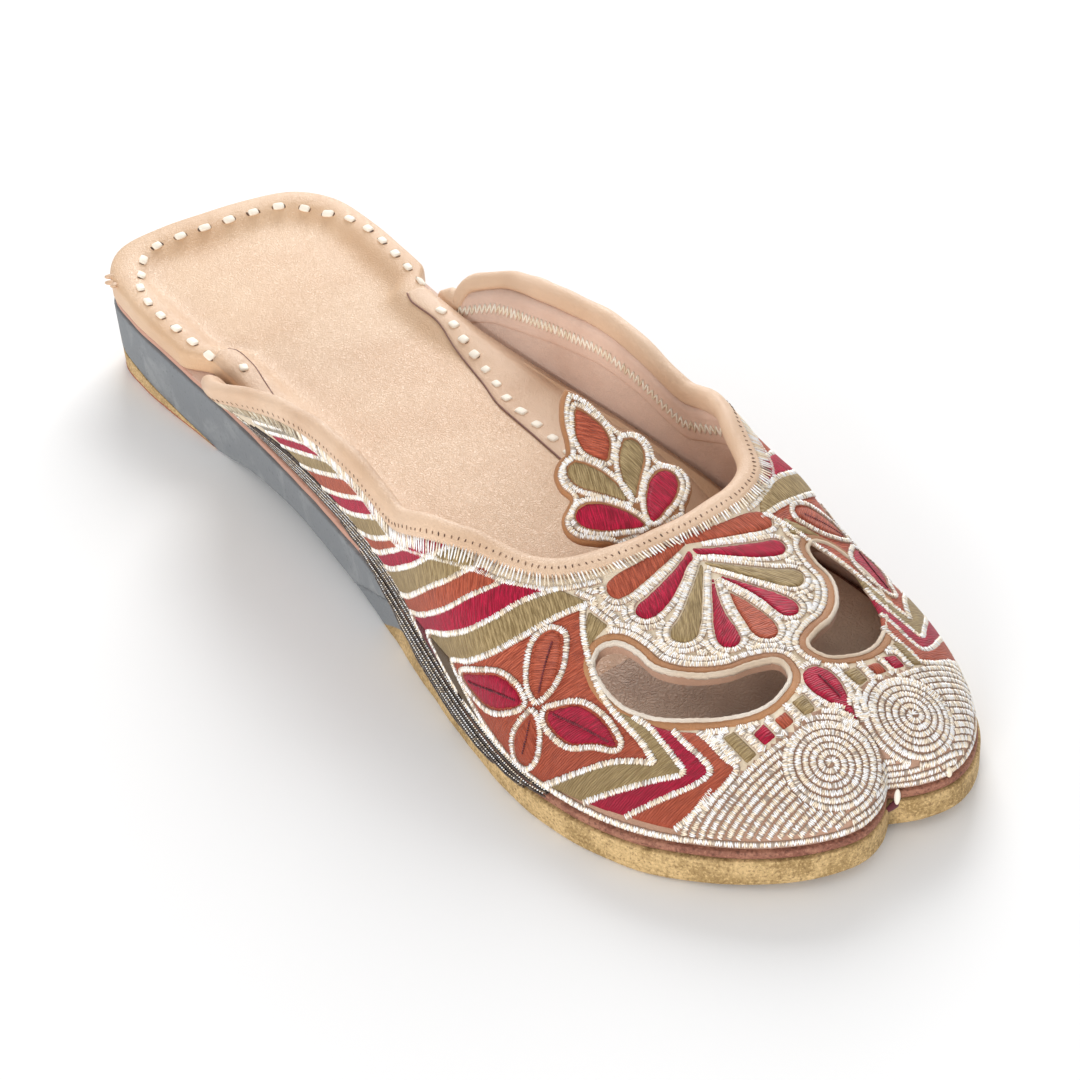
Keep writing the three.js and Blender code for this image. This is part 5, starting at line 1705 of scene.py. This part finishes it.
def build_zari(width, pitch, row_pitch):
    """Every row of metal thread."""
    work = ThreadWork("zari", "couching", pitch)
    lay_flanks(work)
    lay_vamp(work)
    lay_toe(work, row_pitch)
    lay_tab(work)
    lay_veins()
    stripes = ThreadWork("dark", "dark_couching", pitch * 1.2)
    low, beside = 5, 0.6  # below that girth a fine pale row lies beside each dark one
    for side, name in SIDES:
        dark, pale = f"dark_{name}", f"zari_{name}"
        for girth, start, end in STRIPES:
            line = np.array([(x, girth) for x in np.arange(start, end, 1.0)])
            stripes.lay(dark, "flank", line, side, length=0.95, spin=1.2, height=0.4)
            if girth < low:
                work.lay(pale, "flank", line + (0, beside), side, length=0.42, pitch=0.5, spin=1.3,
                         height=0.3, bedded=False)
        for drop, inset, start, end in HEM_STRIPES:
            x = np.arange(start, end, 1.0)
            s = np.array([share_at(one) for one in x])
            edge, _, _, inward = rib(s if side > 0 else 1 - s)
            normals = unit(np.column_stack([-inward, np.full(len(x), 0.25)]))
            sunk = inset + 0.5 * (1 - np.minimum(1, np.minimum(x - start, end - x) / 6))
            points = np.column_stack([edge + inward * sunk[:, None], feather_at(x) - drop])
            stripes.row(dark, points, normals, length=1.0, spin=1.2, height=0.5)
            work.row(pale, points + (0, 0, beside), normals, length=0.42, pitch=0.6, spin=1.3,
                     height=0.4, bedded=False)
    work.finish_off(width, 0.4)
    stripes.finish_off(width, 0.34)


# ---- edges and sewing of the leather


def build_window_edges():
    """The caramel strip round each crescent window, and the raw edge inside it."""
    upper = SURFACE["upper"]
    # sections: out from the leather, and away from the window
    strip = [(-0.3, -0.74), (0.08, -0.72), (0.2, -0.46), (0.2, 0.46), (0.08, 0.72), (-0.3, 0.74)]
    lip = [(-0.7, -0.3), (0.1, -0.36), (0.42, 0.0), (0.42, 0.4), (-0.2, 0.5), (-0.7, 0.1)]
    for side, name in SIDES:
        for kind, out, section, finish in (("edging", 1.25, strip, "caramel"), ("raw_lip", 0.12, lip, "raw")):
            loop = crescent_loop(side, out, pitch=0.6)
            ragged = wobble(np.arange(len(loop)) / len(loop), 5 + len(kind), 0.3)
            loop = loop + outward_of(loop) * ragged[:, None]
            points, normals = upper.top(loop)
            along = unit(np.roll(points, -1, 0) - np.roll(points, 1, 0))
            past = unit(np.cross(along, normals))
            away = np.sum(past[:, :2] * outward_of(loop), -1).mean()
            sweep(f"window_{kind}_{name}", points, normals, past * np.sign(away), section, finish,
                  closed=True, slot="upper_leather")


def build_edge_sewing(width, pitch, whip_pitch):
    """Whip stitches and needle holes along the binding, and a pale row below them."""
    upper = SURFACE["upper"]
    line, out, past = topline_path(0.35)
    run = lengths_along(line)
    # how far down the upper the whip stitches reach, by station; the pale row lies below them
    reach_at = reader([(56, 1.7), (100, 1.9), (120, 2.3), (165, 2.4), (178, 2.0), (186, 1.4)])
    x = line[:, 0]
    lower = line - past * (reach_at(x) + 0.35)[:, None]
    points, normals = upper.nearest(lower)
    bright = x > SHADE_FRONT
    border_back, border_front = 62, 183.6
    border = (x > border_back) & (x < border_front)
    # behind that station the border's thread is greyed: painted shade
    for finish, stretch in (("zari", border & bright), ("tarnished", border & ~bright)):
        work = ThreadWork(finish, "couching", pitch)
        for part in runs_of(np.arange(len(x)), stretch, 8):
            work.row(f"{finish}_border", points[part], normals[part], length=1.4)
        work.finish_off(width, 0.4)
    draw = np.random.default_rng(4)
    at = np.arange(2.0, run[-1] - 2.0, whip_pitch)
    sparse_front = 112  # behind this station every third whip stitch is missing
    at = at[(np.interp(at, run, x) > sparse_front) | (np.arange(len(at)) % 3 > 0)]
    at = at + draw.uniform(-0.1, 0.1, len(at))
    here, up, away = read_off(at, run, line), unit(read_off(at, run, past)), unit(read_off(at, run, out))
    reach = reach_at(here[:, 0]) + draw.uniform(-0.25, 0.25, len(at))
    # they lean, and more so towards the back
    lean = (0.5 + 0.8 * ease(-here[:, 0], -110, -70)) * np.where(here[:, 1] > 0, 1, -1)
    over, beyond = 0.9, 0.9  # a stitch's upper end: out from the binding's line, and past it
    hole_out, hole_past = 0.86, 1.75
    top = here + away * over + up * beyond
    foot, facing = upper.nearest(here - up * reach[:, None] - np.cross(up, away) * lean[:, None])
    foot = foot + facing * 0.25
    stitches = ((top + foot) / 2 + away * 0.1, unit(top - foot), unit(away + facing),
                np.linalg.norm(top - foot, axis=1) + 0.3)
    # behind that station the whip stitches are greyed too: painted shade
    bright = here[:, 0] > SHADE_FRONT
    for name, finish, part in (
        ("whip_stitches", "zari", bright), ("rear_whip_stitches", "tarnished", ~bright)):
        rows = [tuple(field[part] for field in stitches)]
        sew(name, rows, finish, 0.36, 0.4, spread=0.12, turn=0.1)
    spot = here[::2] + away[::2] * hole_out + up[::2] * hole_past
    holes = [(spot, unit(top - foot)[::2], away[::2], 0.85)]
    sew("needle_holes", holes, "hole", 0.36, 0.22, spread=0.3, turn=0.3)


def inner_places(s, drop, lift):
    """Places on the upper's inside, a distance down from the topline, and normals into the shoe."""
    rises = np.linspace(0, 1, 70)[None, :] * top_rise(s)[:, None]
    lines = upper_point(s[:, None], rises)
    normals = upper_normal(np.broadcast_to(s[:, None], rises.shape), rises)
    found = []
    for line, normal, fall in zip(lines, normals, drop):
        girth = lengths_along(line)
        found.append([read_off(girth[-1] - fall, girth, field) for field in (line, normal)])
    points, facing = np.array(found).transpose(1, 0, 2)
    facing = -unit(facing)
    return points + facing * (WALL + lift), facing


def build_facing():
    """The kid facing turned down inside each wing, with its zigzag row."""
    depth = 8.5
    # distance down from the topline, and in from the leather
    section = [(0.2, 0.3), (2.5, 0.3), (5, 0.3), (7.6, 0.3), (8.2, 0.22), (depth, 0.05), (depth, -0.3),
               (0.2, -0.3)]
    zigzag = []
    for side, name in SIDES:
        s = np.linspace(share_at(WING_BACK + 4), share_at(171), 130)
        s = s if side > 0 else 1 - s
        # it narrows to its back end
        fade = np.minimum(1, 0.35 + np.abs(s - s[0]) / abs(s[-1] - s[0]) * 9)
        rings = np.stack([inner_places(s, drop * fade, lift)[0] for drop, lift in section], 1)
        tube(f"wing_facing_{name}", rings, "facing")
        points, facing = inner_places(s, 5.0 * fade, 0.4)
        zigzag.append(stitches_along(points, facing, 0.8, 2.9, 0.05, zigzag=0.34))
    sew("facing_zigzag", zigzag, "cotton", 0.55, 0.45, spread=0.12, turn=0.1)


def dropped(tree, plan):
    """Plan points dropped onto a tree's surface, mm, with upward normals."""
    above, low = 90, 12
    aside = (0.0031, 0.0017)  # so that no ray runs along an edge of the mesh
    points, normals = [], []
    for x, y in plan:
        start = Vector((x + aside[0], y + aside[1], above))
        hit, normal, _, _ = tree.ray_cast(start, Vector((0, 0, -1)))
        if hit is None:
            hit, normal, _, _ = tree.find_nearest(Vector((x, y, low)))
        points.append(hit)
        normals.append(normal if normal.z > 0 else -normal)
    return np.array(points), np.array(normals)


def tree_of(piece):
    """A search tree of a finished piece, in millimetres by station."""
    points = np.array([tuple(v.co) for v in piece.data.vertices]) / MM + (HEEL_REST, 0, 0)
    return BVHTree.FromPolygons(points.tolist(), [tuple(p.vertices) for p in piece.data.polygons])


# distance of the lining margin's inner edge from the middle, by station: left, and right
MARGIN_LEFT = [
    (56.5, 21.6), (60, 20.8), (68, 21.2), (80, 19), (95, 16), (107, 13.3), (118, 12.8), (131, 12.2),
    (162, 11.4)]
MARGIN_RIGHT = [(53.3, 22.4), (54.5, 21), (57, 20.6), (61, 20.7), (66, 21.5), (71, 22.4), (80, 24), (95, 26)]
# across the margin: share of the way out, and height over the footbed
MARGIN_SECTION = (
    (0, 0.1), (0.02, 0.3), (0.1, 0.4), (0.4, 0.4), (0.7, 0.4), (1, 0.4), (1, -0.3), (0, -0.3))
# distance of the rim's stitches from the sole's edge, by station
RIM_STITCH = [(0, 6.5), (10, 7.5), (18, 5.2), (31, 3.6), (46, 4.2), (60, 5)]


def build_footbed_sewing(pitch):
    """Thong stitches round the heel's rim, and the lining's turned margin on the footbed."""
    footbed = tree_of(bpy.data.objects["footbed"])
    thongs, holes, edges = [], [], []
    start = share_at(57)  # the rim's stitches run round the heel behind this station
    s = np.linspace(start, 1 - start, 600)
    edge, _, _, inward = rib(s)
    rim = spaced(edge + inward * reader(RIM_STITCH)(edge[:, 0])[:, None], 0.4)
    left_edge = EDGE_CURVE[: len(EDGE_CURVE) // 2]
    for side, name, margin in ((1, "left", MARGIN_LEFT), (-1, "right", MARGIN_RIGHT)):
        x = np.linspace(margin[0][0], margin[-1][0], 150)
        low = swing_at(x) + side * reader(margin)(x)
        half = np.interp(-x, -left_edge[:, 0], left_edge[:, 1])
        high = swing_at(x) + side * (half - insole_edge_at(x) - 0.4)
        high = low + (high - low) * np.minimum(1, 0.5 + (x - x[0]) / 3)
        rings = []
        for share, rise in MARGIN_SECTION:
            points, normals = dropped(footbed, np.column_stack([x, low + (high - low) * share]))
            rings.append(points + normals * rise)
        tube(f"lining_margin_{name}", np.stack(rings, 1), "binding")
        points, normals = dropped(footbed, np.column_stack([x, low]))
        edges.append(ribbon(points + normals * 0.15, normals, 0.4, 0.3))
        # the margin is sewn along the whole left side, and only near its back end on the right
        shown = x > 64 if side > 0 else (x > 58.5) & (x < 66)
        points, normals = dropped(footbed, spaced(np.column_stack([x, low + side * 2.5])[shown], 0.4))
        thongs.append(stitches_along(points, normals, pitch, 2.6, 0.5, spin=math.pi / 2 - 0.2 * side))
    points, normals = dropped(footbed, rim)
    thongs.append(stitches_along(points, normals, pitch, 2.7, 0.2, spin=math.pi / 2))
    reach, sunk, hole = 1.4, 0.2, 0.7  # a hole lies this far from the stitch's middle, at each end
    for places, along, out, _ in thongs:
        for end in (-1, 1):
            spots = places + along * end * reach - out * sunk
            holes.append((spots, along, out, hole))
    pads("thong_stitches", thongs, "cotton", 1.95, 0.7, "footbed_leather")
    sew("thong_holes", holes, "hole", 1.3, 0.16, spread=0.3, turn=0.2, detail=2)
    gather("lining_margin_thread", edges, "plum", slot="footbed_leather")


def build_lasting_sewing():
    """A few thong ends where the upper meets the sole at the toe, and frayed bits at the heel."""
    upper = SURFACE["upper"]
    points, normals = upper.nearest(np.array([(247.2, 10.0, 10.4)]))
    points = np.vstack([points + normals * 0.3 - (0, 0, 0.5), [(245.3, 0.3, 8.3)]])
    normals = np.vstack([normals, unit(np.array([(1.0, -0.1, 0.1)]))])
    upright = np.array([(-0.3, 0.0, 1.0), (-0.1, 0.1, 1.0)])
    sew("toe_thongs", [(points, unit(upright), normals, np.array([1.8, 3.0]))],
        "cotton", 1.2, 1.0, detail=3)
    patch = [np.array([field]) for field in ((244.9, 0.3, 6.4), (-0.2, 1.0, 0.0), (1.0, 0.2, 0.2), 5.0)]
    sew("notch_patch", [patch], "vein", 1.6, 1.0, detail=3)
    bits = np.array([(12.6, -29.9, 24.4), (14.4, -30.6, 23.8), (16.6, -31.0, 24.2)])
    out = unit(np.array([(-0.2, -1, 0.1), (-0.6, -0.8, 0.3), (0.5, -0.8, 0.2)]))
    up = np.tile((0.0, 0.0, 1.0), (3, 1))
    sew("frayed_bits", [(bits, out, up, np.array([2.4, 3.0, 2.0]))], "binding", 1.7, 1.1,
        spread=0.2, turn=0.6, detail=2)


# ---- the add-on


def colour(name, description, hexcode):
    """A colour for the panel, given as sRGB hex."""
    return bpy.props.FloatVectorProperty(
        name=name, description=description, default=linear(hexcode)[:3], subtype="COLOR", size=3,
        min=0, max=1)


def distance(name, description, millimetres):
    """A size for the panel, given in millimetres."""
    return bpy.props.FloatProperty(
        name=name, description=description, default=millimetres * MM, min=0, unit="LENGTH")


class SlipperColours(bpy.types.PropertyGroup):
    """The slipper's colours."""

    footbed: colour("Footbed", "Goatskin that the foot rests on", "#E0BC98")
    lining: colour("Lining", "Sheepskin inside the upper", "#E4C6B4")
    binding: colour("Binding", "Kidskin rolled over the topline", "#EBC9AA")
    ground: colour("Ground", "Leather under the toe's rows", "#C8A18A")
    caramel: colour("Edging", "Strip round the windows, and the tab", "#C28A5C")
    hide: colour("Outsole", "Gilded edge of the outsole", "#D0B07C")
    midsole: colour("Midsole", "Edge of the thin leather over the sole", "#CC9C88")
    wedge: colour("Wedge", "Painted board under the heel", "#7E8184")
    rust: colour("Rust floss", "Orange-brown silk", "#CE684A")
    crimson: colour("Crimson floss", "Deep red silk", "#CE1544")
    olive: colour("Olive floss", "Dull green-gold silk", "#C0A77A")
    zari: colour("Metal thread", "Silver-gilt thread and its bed", "#FAF2E6")


class SlipperSizes(bpy.types.PropertyGroup):
    """Sizes of the sewing and the strength of the light."""

    floss_rise: distance("Floss rise", "How high satin stitch stands off the leather", 0.55)
    thread_width: distance("Thread width", "Width of one metal-thread stitch", 0.31)
    thread_pitch: distance("Thread pitch", "From one metal-thread stitch to the next", 0.3)
    row_pitch: distance("Row pitch", "From one row on the toe to the next", ROW_PITCH)
    whip_pitch: distance("Whip pitch", "From one whip stitch to the next", WHIP_PITCH)
    thong_pitch: distance("Thong pitch", "From one thong stitch to the next", 6.4)
    light: bpy.props.FloatProperty(
        name="Light", description="Strength of the lights", default=1.0, min=0.1, max=5, subtype="FACTOR")


def ready(context):
    """Makes the materials and the measured surface, once, and gives the sizes."""
    if not FINISH:
        make_finishes(context.scene.slipper_colours)
        SURFACE["upper"] = Surfaces()
    return context.scene.slipper_sizes


class Builder:
    """What the operators share: each builds one group of pieces."""

    bl_options = {"REGISTER", "UNDO"}

    def execute(self, context):
        self.build(ready(context))
        return {"FINISHED"}


class SLIPPER_OT_stage(bpy.types.Operator):
    """Add the floor, the lights and the camera"""

    bl_idname = "slipper.stage"
    bl_label = "Stage"

    def execute(self, context):
        build_stage(context.scene.slipper_sizes.light)
        return {"FINISHED"}


class SLIPPER_OT_sole(Builder, bpy.types.Operator):
    """Build the heel lift, the wedge, the outsole and the midsole"""

    bl_idname = "slipper.sole"
    bl_label = "Sole"

    def build(self, sizes):
        build_sole()
        build_midsole()


class SLIPPER_OT_footbed(Builder, bpy.types.Operator):
    """Build the padded footbed"""

    bl_idname = "slipper.footbed"
    bl_label = "Footbed"

    def build(self, sizes):
        build_footbed()


class SLIPPER_OT_upper(Builder, bpy.types.Operator):
    """Build the upper with its two windows and their edges"""

    bl_idname = "slipper.upper"
    bl_label = "Upper"

    def build(self, sizes):
        build_upper()
        build_window_edges()


class SLIPPER_OT_topline(Builder, bpy.types.Operator):
    """Build the rolled binding and the throat tab"""

    bl_idname = "slipper.topline"
    bl_label = "Binding and tab"

    def build(self, sizes):
        build_binding()
        build_tab()


class SLIPPER_OT_floss(Builder, bpy.types.Operator):
    """Build the satin-stitch patches"""

    bl_idname = "slipper.floss"
    bl_label = "Silk floss"

    def build(self, sizes):
        build_floss(sizes.floss_rise / MM)


class SLIPPER_OT_zari(Builder, bpy.types.Operator):
    """Build the rows of metal thread"""

    bl_idname = "slipper.zari"
    bl_label = "Metal thread"

    def build(self, sizes):
        build_zari(sizes.thread_width / MM, sizes.thread_pitch / MM, sizes.row_pitch / MM)


class SLIPPER_OT_edge_sewing(Builder, bpy.types.Operator):
    """Build the whip stitches along the binding, and the facing inside the wings"""

    bl_idname = "slipper.edge_sewing"
    bl_label = "Edge sewing"

    def build(self, sizes):
        build_edge_sewing(sizes.thread_width / MM, sizes.thread_pitch / MM, sizes.whip_pitch / MM)
        build_facing()


class SLIPPER_OT_thongs(Builder, bpy.types.Operator):
    """Build the thong stitches, the lining's margins and the small marks of handwork"""

    bl_idname = "slipper.thongs"
    bl_label = "Thong sewing"

    def build(self, sizes):
        build_footbed_sewing(sizes.thong_pitch / MM)
        build_lasting_sewing()


BUILDERS = (
    SLIPPER_OT_stage, SLIPPER_OT_sole, SLIPPER_OT_footbed, SLIPPER_OT_upper, SLIPPER_OT_topline,
    SLIPPER_OT_floss, SLIPPER_OT_zari, SLIPPER_OT_edge_sewing, SLIPPER_OT_thongs,
)


class SLIPPER_PT_panel(bpy.types.Panel):
    """The slipper's tab in the 3D view's sidebar"""

    bl_idname = "SLIPPER_PT_panel"
    bl_label = "Embroidered slipper"
    bl_space_type = "VIEW_3D"
    bl_region_type = "UI"
    bl_category = "Slipper"

    def draw(self, context):
        for group in (context.scene.slipper_sizes, context.scene.slipper_colours):
            box = self.layout.box()
            for key in group.__annotations__:
                box.prop(group, key)
        for builder in BUILDERS:
            self.layout.operator(builder.bl_idname)


CLASSES = (SlipperColours, SlipperSizes) + BUILDERS + (SLIPPER_PT_panel,)


def register():
    for one in CLASSES:
        bpy.utils.register_class(one)
    bpy.types.Scene.slipper_colours = bpy.props.PointerProperty(type=SlipperColours)
    bpy.types.Scene.slipper_sizes = bpy.props.PointerProperty(type=SlipperSizes)


def unregister():
    del bpy.types.Scene.slipper_colours
    del bpy.types.Scene.slipper_sizes
    for one in reversed(CLASSES):
        bpy.utils.unregister_class(one)


def main():
    """Registers the add-on and runs each operator in turn."""
    register()
    bpy.ops.slipper.stage()
    bpy.ops.slipper.sole()
    bpy.ops.slipper.footbed()
    bpy.ops.slipper.upper()
    bpy.ops.slipper.topline()
    bpy.ops.slipper.floss()
    bpy.ops.slipper.zari()
    bpy.ops.slipper.edge_sewing()
    bpy.ops.slipper.thongs()


if __name__ == "__main__":
    main()
